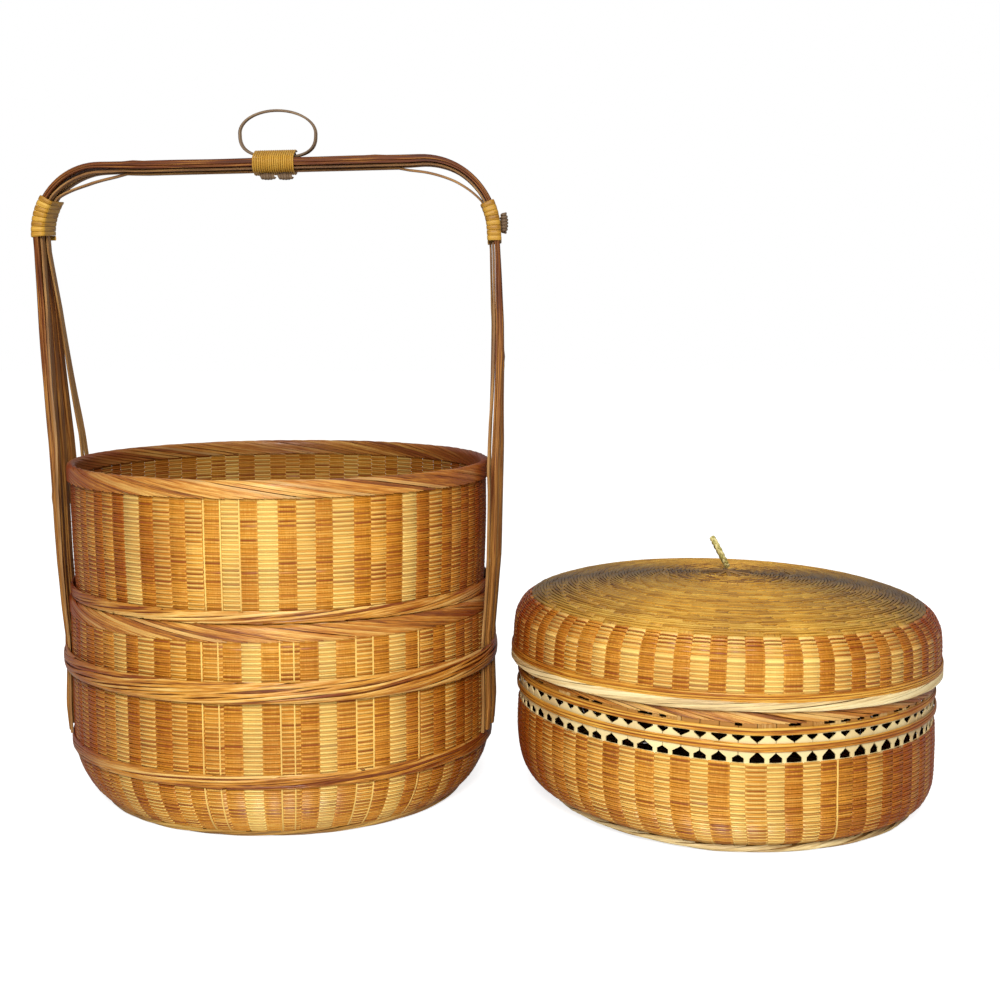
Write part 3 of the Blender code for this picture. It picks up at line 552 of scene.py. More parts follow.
        # Mixes towards the brown age colour by the patches plus any painted flank shade
        aged_and_shaded = add_node(tree, "ShaderNodeMix", {
            "Factor": amount, "A": mixed.outputs[2], "B": linear(self.patina_and_shade)},
            data_type="RGBA")
        colour = aged_and_shaded.outputs[2]
        if self.flank_shade_share:
            # Painted shade: faces turned into the tray are darkened towards a dark brown
            surface = add_node(tree, "ShaderNodeNewGeometry")
            outside = add_node(tree, "ShaderNodeVectorMath", {
                0: surface.outputs["Normal"], 1: outward.outputs["Vector"]},
                operation="DOT_PRODUCT")
            inside = add_node(tree, "ShaderNodeMapRange", {
                "Value": outside.outputs["Value"], "From Min": -0.25, "From Max": -0.05,
                "To Min": self.inner_shade_share, "To Max": 0.0})
            inner_shaded = add_node(tree, "ShaderNodeMix", {
                "Factor": inside.outputs["Result"], "A": colour,
                "B": linear(self.inner_shade)}, data_type="RGBA")
            colour = inner_shaded.outputs[2]
        tree.links.new(colour, shader.inputs["Base Color"])
        rough = add_node(tree, "ShaderNodeMapRange", {
            "Value": fibre.outputs["Fac"], "From Min": 0.3, "From Max": 0.7,
            "To Min": self.roughness - 0.08, "To Max": self.roughness + 0.12})
        tree.links.new(rough.outputs["Result"], shader.inputs["Roughness"])
        raised = add_node(tree, "ShaderNodeBump", {
            "Height": fibre.outputs["Fac"], "Strength": 0.35, "Distance": 0.0002})
        tree.links.new(raised.outputs["Normal"], shader.inputs["Normal"])
        shader.inputs["IOR"].default_value = 1.5
        shader.inputs["Specular IOR Level"].default_value = self.specular
        shader.inputs["Metallic"].default_value = 0.0
        shader.inputs["Coat Weight"].default_value = self.coat
        shader.inputs["Coat Roughness"].default_value = 0.3
        return made


@dataclass
class WovenWall:
    """A plain-woven wall: flat stakes up the wall, thin wefts in front of and behind them.

    Every second stake is a pale one. Looks gives the (tone, pale) of single stakes, counted
    to the right from the facing side."""

    name: str
    body: str
    setting: Setting
    profile: Profile
    facing: float
    material: bpy.types.Material
    slot: str
    nodes: tuple[str, ...]
    stakes: int = STAKES
    row_pitch: float = ROW_PITCH
    wall: float = 0.0026
    weft_height: float = 0.00120
    weft_thickness: float = 0.00090
    reach: float = 0.00072
    stake_thickness: float = 0.0005
    cover: float = 0.5
    floats: int = 2
    pale_parity: int = 0
    looks: dict[int, tuple[float, float]] = field(default_factory=dict)
    glint_angles: tuple[float, ...] = ()
    weft_tone: tuple[float, float] = (0.33, 0.10)
    pale_tone: tuple[float, float] = (0.66, 0.42)
    plain_tone: tuple[float, float] = (0.52, 0.05)
    cell_tone: float = 0.07
    # Share of weft cells darkened as painted shadow dashes
    shadow_dashes: float = 0.08
    margins: tuple[float, float] = (0.0003, 0.0003)
    weft_sides: int = 5
    seed: int = 1

    def __post_init__(self) -> None:
        """Draws the weave's chances once, so that wefts and stakes agree."""
        rng = np.random.default_rng(self.seed)
        numbers = np.arange(self.stakes)
        edge = numbers + rng.normal(0, 0.045, self.stakes)
        after = np.append(edge[1:], edge[0] + self.stakes)
        self.middles, self.halves = (edge + after) / 2, (after - edge) / 2
        pale_one = numbers % 2 == self.pale_parity
        tone = np.where(pale_one, self.pale_tone[0], self.plain_tone[0])
        self.tones = np.clip(tone + rng.normal(0, 0.09, self.stakes), 0.05, 1)
        pale = np.where(pale_one, self.pale_tone[1] * rng.uniform(0.5, 1.5, self.stakes),
                        self.plain_tone[1])
        for number, (tone, share) in self.looks.items():
            self.tones[number % self.stakes] = tone
            pale[number % self.stakes] = share
        self.pales = pale
        self.rng = rng

    def rows(self) -> int:
        """How many rows of weft the wall takes."""
        return int((self.profile.length() - sum(self.margins)) / self.row_pitch)

    def surface(self, run: np.ndarray, turn: np.ndarray, out: np.ndarray,
                up: np.ndarray) -> np.ndarray:
        """Points near the wall's middle surface.

        Args:
            run: Places along the profile.
            turn: Angles round the tray.
            out: How far outwards of the middle surface.
            up: How far along the profile.

        Returns:
            Points of the broadcast shape, with x, y and z last.
        """
        point, normal = self.profile.at(run)
        middle = point - normal * self.wall / 2
        radius = middle[..., 0] + normal[..., 0] * out - normal[..., 1] * up
        height = middle[..., 1] + normal[..., 1] * out + normal[..., 0] * up
        return np.stack(np.broadcast_arrays(radius * np.cos(turn), radius * np.sin(turn),
                                            height), axis=-1)

    def wefts(self) -> bpy.types.Object:
        """The rows of weft, each a closed ring that goes over and under."""
        rng, rows = self.rng, self.rows()
        run = self.margins[0] + (np.arange(rows) + 0.5) * self.row_pitch
        stake = np.arange(2 * self.stakes) // 2
        shift = np.where(np.arange(2 * self.stakes) % 2, 0.72, -0.72)
        turn = self.facing + (self.middles[stake] + shift * self.halves[stake]) * (
            TAU / self.stakes)
        behind = (np.arange(rows)[:, None] + stake[None, :]) % self.floats == 0
        out = np.where(behind, -1.0, 1.0) * self.reach
        out = out + rng.normal(0, 0.00005, out.shape)
        up = rng.normal(0, 0.00009, out.shape)
        section = oval(self.weft_height, self.weft_thickness, self.weft_sides)
        size = 1 + rng.normal(0, 0.10, (rows, 1, 1))
        points = self.surface(run[:, None, None], turn[None, :, None],
                              out[:, :, None] + section[None, None, :, 1],
                              up[:, :, None] + section[None, None, :, 0] * size)
        points = np.concatenate([points, points[:, :, :1]], axis=2)
        points = np.concatenate([points, points[:, :1]], axis=1)
        drift = np.convolve(rng.normal(0, 1, rows + 8), np.ones(5) / 5, "same")[:rows]
        # Wefts run darker than the stakes: partly their own colour, partly painted shade for the
        # dark lines between rungs
        row_tone = self.weft_tone[0] + (drift * 1.2 + rng.normal(0, 1, rows)) * (
            self.weft_tone[1])
        cell = rng.normal(0, self.cell_tone, (rows, self.stakes))
        # Painted shadow: a few cells are darkened to short dark dashes, for the shadow gaps
        # between wefts and stakes
        cell -= np.where(rng.random((rows, self.stakes)) < self.shadow_dashes, 0.32, 0)
        tone = row_tone[:, None] + cell + 0.35 * (self.tones - 0.5)[None, :]
        # Wefts take the paleness of the stakes they cross, which carries the painted highlight of
        # the glossy stakes onto them
        pale = np.broadcast_to(0.85 * np.maximum(self.pales - 0.45, 0), tone.shape)
        last = [np.repeat(values, 2, axis=1) for values in (np.clip(tone, 0, 1), pale)]
        tone, pale = (np.concatenate([values, values[:, :1]], axis=1) for values in last)
        return strand_batch(self.name + "_wefts", self.setting.place(points), tone, pale)

    def uprights(self) -> bpy.types.Object:
        """The stakes, each a flat strip bent round the wefts."""
        rng, rows = self.rng, self.rows()
        run = self.margins[0] + (np.arange(rows) + 0.5) * self.row_pitch
        run = np.concatenate([[0.0], run, [self.profile.length()]])
        numbers = np.arange(self.stakes)
        side = np.zeros((self.stakes, rows + 2))
        side[:, 1:-1] = np.where(
            (numbers[:, None] + np.arange(rows)[None, :]) % self.floats == 0, 1.0, -1.0)
        turn = self.facing + self.middles * TAU / self.stakes
        half = 2 * self.cover * self.halves * TAU / self.stakes
        across = np.array([-1, -0.9, 0, 0.9, 1])
        deep = np.array([-1, 1, 1.5, 1, -1]) * self.stake_thickness / 2
        turns = turn[:, None, None] + half[:, None, None] * across
        points = self.surface(run[None, :, None], turns,
                              side[:, :, None] * self.reach + deep, np.zeros(1))
        tone = np.clip(self.tones[:, None] + rng.normal(0, 0.05, side.shape), 0, 1)
        pale = np.clip(self.pales[:, None] + rng.normal(0, 0.04, side.shape), 0, 1)
        return strand_batch(self.name + "_stakes", self.setting.place(capped(points)),
                            end_values(tone), end_values(pale))

    def glint_splints(self) -> list[bpy.types.Object]:
        """Thin bright splints in front of the wefts where two stakes meet, near the front:
        painted highlight for the glossy glints along stake edges.
        """
        if not self.glint_angles:
            return []
        rng = self.rng
        run = np.linspace(0, self.profile.length(), 60)
        turn = np.radians(np.array(self.glint_angles))
        across = np.array([-1, -0.6, 0.6, 1]) * 0.0006
        deep = np.array([-1, 1, 1, -1]) * 0.00022
        radius = self.profile.at(run)[0][:, 0]
        turns = turn[:, None, None] + across / radius[None, :, None]
        out = self.reach + 0.00025 + rng.normal(0, 0.00004, (len(turn), len(run)))
        points = self.surface(run[None, :, None], turns, out[:, :, None] + deep, np.zeros(1))
        # Their bright pale tone is painted highlight
        return [strand_batch(self.name + "_splints", self.setting.place(capped(points)),
                             np.full(len(turn), 0.8), np.full(len(turn), 0.55))]

    def build(self) -> None:
        """Weaves the wall and dresses it."""
        piece = joined(self.name, [self.wefts(), *self.glint_splints()])
        dress(piece, self.body, self.material, self.nodes)
        dress(self.uprights(), self.body, self.material, ())


@dataclass
class TwinedBand:
    """Strands twined round each other along a wall, as a flat rope."""

    name: str
    body: str
    setting: Setting
    radius: float
    height: float
    half_depth: float
    half_height: float
    strands: int
    turns: int
    width: float
    thickness: float
    twist: Twist = Twist.RIGHT
    tone: tuple[float, float] = (0.55, 0.18)
    pale: float = 0.0
    core: bool = True
    stations: int = 272
    seed: int = 1

    def rope(self) -> list[bpy.types.Object]:
        """The twined strands, and a dark core ring that paints shade into the gaps they leave."""
        rng = np.random.default_rng(self.seed)
        turn = np.arange(self.stations) * TAU / self.stations
        start = (np.arange(self.strands) + rng.normal(0, 0.12, self.strands)) * (
            TAU / self.strands)
        wander = sum(rng.normal(0, 0.07, (self.strands, 1)) * np.sin(
            turn[None, :] * beat + rng.random((self.strands, 1)) * TAU) for beat in (5, 9, 14))
        lay = start[:, None] + self.twist.value * self.turns * turn[None, :] + wander
        out, rise = np.cos(lay), np.sin(lay)
        # Flat on the front, where the strands lie side by side on the wall
        flat = np.sign(out) * np.abs(out) ** 0.6
        level = (lay + math.pi / 2) % TAU / math.pi
        level = np.where(level < 1, 2 * level - 1, 3 - 2 * level)
        level = 0.55 * level + 0.45 * rise
        radius = self.radius + self.half_depth * flat
        height = self.height + self.half_height * level
        centres = np.stack([radius * np.cos(turn), radius * np.sin(turn), height], axis=-1)
        slant = unit(np.stack([flat * self.half_height * 1.5, level * self.half_depth], axis=-1))
        normals = np.stack([slant[..., 0] * np.cos(turn), slant[..., 0] * np.sin(turn),
                            slant[..., 1]], axis=-1)
        size = 1 + 0.18 * np.sin(turn[None, :] * 6 + rng.random((self.strands, 1)) * TAU)
        points = sweep(centres, normals, oval(self.width, self.thickness), Ends.RING, size)
        slow = sum(rng.normal(0, 0.10, (self.strands, 1)) * np.sin(
            turn[None, :] * beat + rng.random((self.strands, 1)) * TAU) for beat in (2, 7, 19))
        tone = np.clip(rng.normal(*self.tone, self.strands)[:, None] + slow, 0.05, 1)
        tone = np.concatenate([tone, tone[:, :1]], axis=1)
        made = [strand_batch(self.name + "_strands", self.setting.place(points), tone,
                             self.pale)]
        if self.core:
            made.append(shade_ring(self.name + "_core", self.setting, self.radius, self.height,
                                  self.half_depth * 1.1, self.half_height * 1.7))
        return made

    def build(self, slot: str, material: bpy.types.Material,
              nodes: tuple[str, ...]) -> bpy.types.Object:
        """Twines the band and dresses it."""
        piece = joined(self.name, self.rope())
        return dress(piece, self.body, material, nodes)


def shade_ring(name: str, setting: Setting, radius: float, height: float, depth: float,
              tall: float, tone: float = 0.05) -> bpy.types.Object:
    """A plain near-black ring inside a band or border, which shows only in its gaps as painted
    shade.
    """
    turn = np.arange(96) * TAU / 96
    centres = np.stack([radius * np.cos(turn), radius * np.sin(turn),
                        np.full(len(turn), height)], axis=-1)[None]
    normals = np.stack([np.cos(turn), np.sin(turn), np.zeros(len(turn))], axis=-1)[None]
    points = sweep(centres, normals, oval(tall, depth, 8), Ends.RING)
    return strand_batch(name, setting.place(points), np.array([tone]))


@dataclass
class PlaitedRim:
    """A border of flat strands laid slantwise over the edge of a tray, one over the next."""

    name: str
    body: str
    setting: Setting
    line: tuple[tuple[float, float], ...]
    advance: float
    width: float
    thickness: float
    strands: int = STAKES
    splints: int = 3
    fullness: float = 0.8
    twist: Twist = Twist.LEFT
    lean: float = 0.16
    tone: tuple[float, float] = (0.5, 0.16)
    pale: float = 0.05
    stations: int = 26
    facing: float = STACK_FACING
    core: tuple[float, float, float, float] = (0.157, 0.15, 0.003, 0.008)
    seed: int = 1

    def strips(self) -> bpy.types.Object:
        """The slanting strands, from the foot of the outer side over to the inner side.

        Each strand is a few fine splints side by side, which keep together."""
        rng = np.random.default_rng(self.seed)
        profile = Profile(self.line)
        share = np.linspace(0, 1, self.stations)
        count = self.strands * self.splints
        bundle = np.arange(count) // self.splints
        within = (np.arange(count) % self.splints + 0.5) / self.splints - 0.5
        step = TAU / self.strands
        jitter = rng.normal(0, 0.09, self.strands)
        start = self.facing + (bundle + jitter[bundle] + within * self.fullness) * step
        bend = rng.normal(0, 0.05, (self.strands, 1))[bundle] * np.sin(share * math.pi)
        turn = start[:, None] + self.twist.value * self.advance * share[None, :] + bend * step
        slip = rng.normal(0, 0.00020, (self.strands, 1))[bundle]
        run = share[None, :] * profile.length() + slip * np.sin(share * math.pi)
        point, normal = profile.at(run)
        lift = rng.normal(0, 0.00010, (count, 1)) - within[:, None] * self.twist.value * (
            self.lean * self.width)
        radius = point[..., 0] + normal[..., 0] * lift
        height = point[..., 1] + normal[..., 1] * lift
        centres = np.stack([radius * np.cos(turn), radius * np.sin(turn), height], axis=-1)
        normals = np.stack([normal[..., 0] * np.cos(turn), normal[..., 0] * np.sin(turn),
                            normal[..., 1]], axis=-1)
        size = (1 + rng.normal(0, 0.12, (count, 1))) * (
            1 - 0.35 * np.abs(2 * share[None, :] - 1) ** 8)
        points = sweep(centres, normals, strip(self.width / self.splints * 1.1,
                                               self.thickness, 0.00012), Ends.CUT, size,
                       self.lean)
        tone = rng.normal(*self.tone, self.strands)[bundle] + rng.normal(0, 0.07, count)
        waves = rng.normal(0, 0.10, (count, 1)) * np.sin(
            share[None, :] * 9 + rng.random((count, 1)) * TAU)
        tone = np.clip(tone[:, None] + waves, 0.03, 1)
        pale = np.where(rng.random(self.strands) < 0.10, 0.45, self.pale)[bundle]
        return strand_batch(self.name + "_strips", self.setting.place(points),
                            end_values(tone), pale)

    def build(self, slot: str, material: bpy.types.Material,
              nodes: tuple[str, ...]) -> bpy.types.Object:
        """Plaits the border and dresses it."""
        radius, height, depth, tall = self.core
        # A near-black core ring paints shade into the gaps between the strips
        core = shade_ring(self.name + "_core", self.setting, radius, height, depth, tall)
        piece = joined(self.name, [self.strips(), core])
        return dress(piece, self.body, material, nodes)


@dataclass
class Openwork:
    """Cream stakes that part into two rows of house-shaped gaps and meet at a band.

    Wide and narrow gaps take turns. Above the upper strands the stakes part once more, and
    leave uneven slits under the border."""

    name: str
    body: str
    setting: Setting
    radius: float = 0.1549
    thickness: float = 0.0009
    low: float = 0.0672
    high: float = 0.0968
    gaps: tuple[tuple[float, float, float, float], ...] = (
        (0.0689, 0.0719, 0.0769, 0.0756), (0.0877, 0.0864, 0.0829, 0.0837))
    halves: tuple[tuple[float, float], ...] = ((0.0053, 0.0040), (0.0053, 0.0038))
    slit: tuple[float, float] = (0.0938, 0.0960)
    facing: float = LIDDED_FACING
    seed: int = 5

    def half_gap(self, number: np.ndarray, heights: np.ndarray, rng: np.random.Generator
                 ) -> np.ndarray:
        """Half the width of each gap at each height.

        Args:
            number: The gaps' numbers round the tray.
            heights: Heights, rising.
            rng: Source of the small differences between gaps.

        Returns:
            (gaps, heights) half widths, in metres.
        """
        narrow = 1 - number % 2
        angle = self.facing + (number + 0.5) * TAU / STAKES
        left = np.cos(angle) < 0
        width = np.zeros((len(number), len(heights)))
        for row, (foot, eave, wide_tip, narrow_tip) in enumerate(self.gaps):
            tip = np.where(narrow, narrow_tip, wide_tip) + rng.normal(0, 0.0002, len(number))
            if row == 0:
                tip = tip - np.where(left, 0.0014, 0.0)
            half = np.where(narrow, self.halves[row][1], self.halves[row][0])
            half = half * rng.normal(1, 0.06, len(number))
            for at, height in enumerate(heights):
                part = np.clip((tip - height) / (tip - eave), 0, 1)
                inside = (height - foot) * (tip - foot) >= -1e-9
                within = (tip - height) * (tip - foot) > 0
                width[:, at] += np.where(inside & within, part * half, 0)
        open_slit = np.where(rng.random(len(number)) < 0.62,
                             rng.uniform(0.0022, 0.0056, len(number)), 0.0)
        inside = (heights >= self.slit[0]) & (heights <= self.slit[1])
        return np.maximum(width, open_slit[:, None] * inside[None, :])

    def posts(self) -> bpy.types.Object:
        """The stakes, wide where they meet and pared where they part."""
        rng = np.random.default_rng(self.seed)
        pitch = TAU / STAKES
        knots = [self.low, 0.0688, 0.06892, 0.0705, 0.0719, 0.0730, 0.0742, 0.0756, 0.0769,
                 0.0780, 0.0799, 0.0820, 0.0829, 0.0837, 0.0850, 0.0864, 0.0870, 0.08768,
                 0.0878, 0.0905, 0.09378, 0.09382, 0.09598, 0.09602, self.high]
        heights = np.array(knots)
        number = np.arange(STAKES)
        half = self.half_gap(number, heights, rng)
        step = pitch * self.radius
        after = np.roll(half, -1, axis=0)
        left = half - step / 2 + 0.00010
        right = step / 2 - after - 0.00010
        right = np.maximum(right, left + 0.0008)
        middle = (left + right) / 2
        across = np.stack([left, left + 0.0002, middle, right - 0.0002, right], axis=-1)
        deep = np.array([-1, 1, 1.5, 1, -1]) * self.thickness / 2
        radius = self.radius - self.thickness + deep + np.zeros_like(across)
        turn = self.facing + (number[:, None, None] + 1.0) * pitch + across / self.radius
        points = np.stack([radius * np.cos(turn), radius * np.sin(turn),
                           heights[None, :, None] + np.zeros_like(turn)], axis=-1)
        low_down = heights < 0.0890
        tone = np.clip(rng.normal(0.6, 0.18, STAKES), 0, 1)[:, None] - 0.5 * ~low_down
        pale = np.clip(rng.normal(0.75, 0.15, STAKES), 0.3, 1)[:, None] * low_down
        return strand_batch(self.name, self.setting.place(capped(points)),
                            end_values(np.clip(tone, 0, 1)), end_values(pale), 35.0)

    def build(self, material: bpy.types.Material) -> bpy.types.Object:
        """Makes the posts and dresses them."""
        return dress(self.posts(), self.body, material, ("top_openwork",))


@dataclass
class Arch:
    """The handle: the line of its outer face, repeated here from the part's sizes."""

    left_line: tuple[float, float] = (-0.1723, 0.2700)
    left_corner: tuple[float, float] = (-0.1835, 0.4765)
    right_corner: tuple[float, float] = (0.1640, 0.4848)
    right_line: tuple[float, float] = (0.1710, 0.3600)
    left_radius: float = 0.0525
    right_radius: float = 0.0580
    left_face: tuple[tuple[float, float], ...] = (
        (0.0520, 0.1637), (0.0720, 0.1652), (0.1000, 0.1642), (0.1220, 0.1642),
        (0.1500, 0.1668), (0.1800, 0.1690), (0.2250, 0.1706), (0.2700, 0.1723))
    right_face: tuple[tuple[float, float], ...] = (
        (0.0520, 0.1637), (0.0720, 0.1652), (0.1000, 0.1642), (0.1220, 0.1642),
        (0.1500, 0.1668), (0.1800, 0.1690), (0.2250, 0.1703), (0.2700, 0.1710),
        (0.3600, 0.1710))
    upright_thickness: tuple[tuple[float, float], ...] = (
        (0.0520, 0.0028), (0.0720, 0.0038), (0.1000, 0.0032), (0.1220, 0.0032),
        (0.1800, 0.0044), (0.2500, 0.0052), (0.3400, 0.0056), (0.3700, 0.0056),
        (0.4120, 0.0040))
    bar_thickness: tuple[tuple[float, float], ...] = ((0.1000, 0.0060), (0.1400, 0.0040))
    upright_steps: int = 60
    corner_steps: int = 22
    bar_steps: int = 30
    bow_reach: tuple[float, float] = (0.116, 0.0917)
    arcs: list[tuple[np.ndarray, float, float, float]] = field(default_factory=list)

    def __post_init__(self) -> None:
        """Works out the two rounded corners."""
        self.arcs = [self.arc(self.left_line, self.left_corner, self.right_corner,
                              self.left_radius),
                     self.arc(self.left_corner, self.right_corner, self.right_line,
                              self.right_radius)]

    def arc(self, before: tuple[float, float], corner: tuple[float, float],
            after: tuple[float, float], radius: float) -> tuple[np.ndarray, float, float, float]:
        """The arc that rounds a corner between two lines.

        Args:
            before: A point on the first line.
            corner: Where the lines meet.
            after: A point on the second line.
            radius: The arc's radius.

        Returns:
            Its centre, radius, first angle and last angle.
        """
        before, corner, after = (np.array(point) for point in (before, corner, after))
        going, leaving = unit(corner - before), unit(after - corner)
        angle = math.acos(float(np.clip(going @ leaving, -1, 1)))
        outward = np.array([-going[1], going[0]])
        last = np.array([-leaving[1], leaving[0]])
        centre = corner - going * radius * math.tan(angle / 2) - outward * radius
        return (centre, radius, math.atan2(outward[1], outward[0]) % TAU,
                math.atan2(last[1], last[0]))

    def on_arc(self, corner: int, angle: np.ndarray, depth: np.ndarray | float = 0.0
               ) -> np.ndarray:
        """Points at angles round a corner, set in from the outer face."""
        centre, radius, start, end = self.arcs[corner]
        held = np.clip(angle, min(start, end), max(start, end))
        outward = np.stack([np.cos(held), np.sin(held)], axis=-1)
        onward = np.stack([-np.sin(held), np.cos(held)], axis=-1)
        reach = np.asarray(radius - depth)[..., None]
        return centre + outward * reach + onward * ((angle - held) * radius)[..., None]

    def face(self, side: int, height: float) -> float:
        """How far the outer face is from the stack's axis at a height."""
        table = self.left_face if side < 0 else self.right_face
        corner = self.left_corner if side < 0 else self.right_corner
        foot_height, foot = table[-1]
        if height <= foot_height:
            return float(np.interp(height, *zip(*table)))
        part = (height - foot_height) / (corner[1] - foot_height)
        return foot + (abs(corner[0]) - foot) * part

    def stations(self) -> np.ndarray:
        """The stations of the arch: x, z, inward x, inward z, side and run."""
        rows = []
        for z in np.linspace(0.052, 0.412, self.upright_steps):
            rows.append((-self.face(-1, z), z, 1.0, 0.0, -1))
        for corner, (_, _, start, end) in enumerate(self.arcs):
            for angle in np.linspace(start, end, self.corner_steps):
                x, z = self.on_arc(corner, np.array([angle]))[0]
                rows.append((x, z, -math.cos(angle), -math.sin(angle), 0))
            if corner == 0:
                first = rows[-1]
                x_end, z_end = self.on_arc(1, np.array([self.arcs[1][2]]))[0]
                for part in np.linspace(0, 1, self.bar_steps)[1:-1]:
                    rows.append((first[0] + (x_end - first[0]) * part,
                                 first[1] + (z_end - first[1]) * part, first[2], first[3], 0))
        for z in np.linspace(0.412, 0.052, self.upright_steps):
            rows.append((self.face(1, z), z, -1.0, 0.0, 1))
        table = np.array(rows)
        steps = np.linalg.norm(np.diff(table[:, :2], axis=0), axis=1)
        return np.column_stack([table, np.concatenate([[0], np.cumsum(steps)])])

    def thickness(self, stations: np.ndarray) -> np.ndarray:
        """A main split's thickness at each station."""
        upright = np.interp(stations[:, 1], *zip(*self.upright_thickness))
        bar = np.interp(np.abs(stations[:, 0]), *zip(*self.bar_thickness))
        return np.where(stations[:, 4] != 0, upright, bar)

    def fan(self, stations: np.ndarray) -> np.ndarray:
        """0 where the bundle is tied, 1 where its splits lie spread on the wall."""
        part = np.clip((0.412 - stations[:, 1]) / (0.412 - 0.250), 0, 1)
        return np.where(stations[:, 4] != 0, part, 0.0)

    def bow(self, stations: np.ndarray, bows: tuple[float, float],
            ties: tuple[float, float]) -> np.ndarray:
        """How far a slip stands off the bundle past each corner lashing."""
        height = np.zeros(len(stations))
        run, x, on_bar = stations[:, 5], stations[:, 0], stations[:, 4] == 0
        for corner, (side, amount) in enumerate(zip((-1, 1), bows)):
            reach = self.bow_reach[corner]
            tied = abs(self.on_arc(corner, np.array([ties[corner]]))[0][0])
            loose = run[on_bar & (x * side > 0) & (x * side < tied)]
            held = run[on_bar & (x * side <= reach)]
            first = loose.min() if side < 0 else loose.max()
            last = held.min() if side < 0 else held.max()
            height += amount * np.sin(math.pi * np.clip((run - first) / (last - first), 0, 1))
        return height

    def strip_points(self, stations: np.ndarray, place: np.ndarray, width: np.ndarray,
                     outer: np.ndarray, inner: np.ndarray, section: np.ndarray) -> np.ndarray:
        """Points of one strip along the arch.

        Args:
            stations: The arch's stations.
            place: Distance across the bundle at each station.
            width: Width at each station.
            outer: Depth of the outer face at each station.
            inner: Depth of the inner face at each station.
            section: (across, depth) shares, -0.5 to 0.5 and 0 outer to 1 inner.

        Returns:
            (1, stations, section, 3) with closing copies and end caps.
        """
        x, z, in_x, in_z, side = (stations[:, column] for column in range(5))
        radius = np.abs(x)
        wrap = np.where(side != 0, np.clip((0.400 - z) / (0.400 - 0.270), 0, 1), 0.0)
        turn = wrap * np.arcsin(np.clip(place / radius, -1, 1))
        reach = radius - wrap * (radius - np.sqrt(np.maximum(radius ** 2 - place ** 2, 0)))
        upright = side != 0
        zero = np.zeros_like(x)
        face = np.stack([np.where(upright, side * reach, x), place, z], axis=-1)
        inward = np.stack([np.where(upright, -side * np.cos(turn), in_x),
                           np.where(upright, -np.sin(turn), zero),
                           np.where(upright, zero, in_z)], axis=-1)
        along = np.stack([np.where(upright, -side * np.sin(turn), zero),
                          np.where(upright, np.cos(turn), 1.0), zero], axis=-1)
        across = section[None, :, 0] * width[:, None]
        depth = outer[:, None] + (inner - outer)[:, None] * section[None, :, 1]
        points = (face[:, None] + along[:, None] * across[..., None]
                  + inward[:, None] * depth[..., None])[None]
        points = np.concatenate([points, points[:, :, :1]], axis=2)
        caps = [np.broadcast_to(points[:, at, :-1].mean(axis=2, keepdims=True),
                                points[:, at].shape) for at in (slice(0, 1), slice(-1, None))]
        return np.concatenate([caps[0], points, caps[1]], axis=1)


# A split's section: sawn flat on its inner side, with the culm's round skin outside
SPLIT_HALF = ((-0.5, 1.0), (-0.5, 0.74), (-0.42, 0.68), (-0.5, 0.62), (-0.5, 0.34),
              (-0.46, 0.16), (-0.32, 0.04), (-0.20, 0.02), (-0.17, 0.40), (-0.14, 0.02))
SPLIT_SECTION = np.array([*SPLIT_HALF, (0.0, 0.0), *((-x, y) for x, y in SPLIT_HALF[::-1])])
SLIP_SECTION = np.array([(-0.5, 1.0), (-0.5, 0.2), (-0.4, 0.0), (0.4, 0.0), (0.5, 0.2),
                         (0.5, 1.0)])


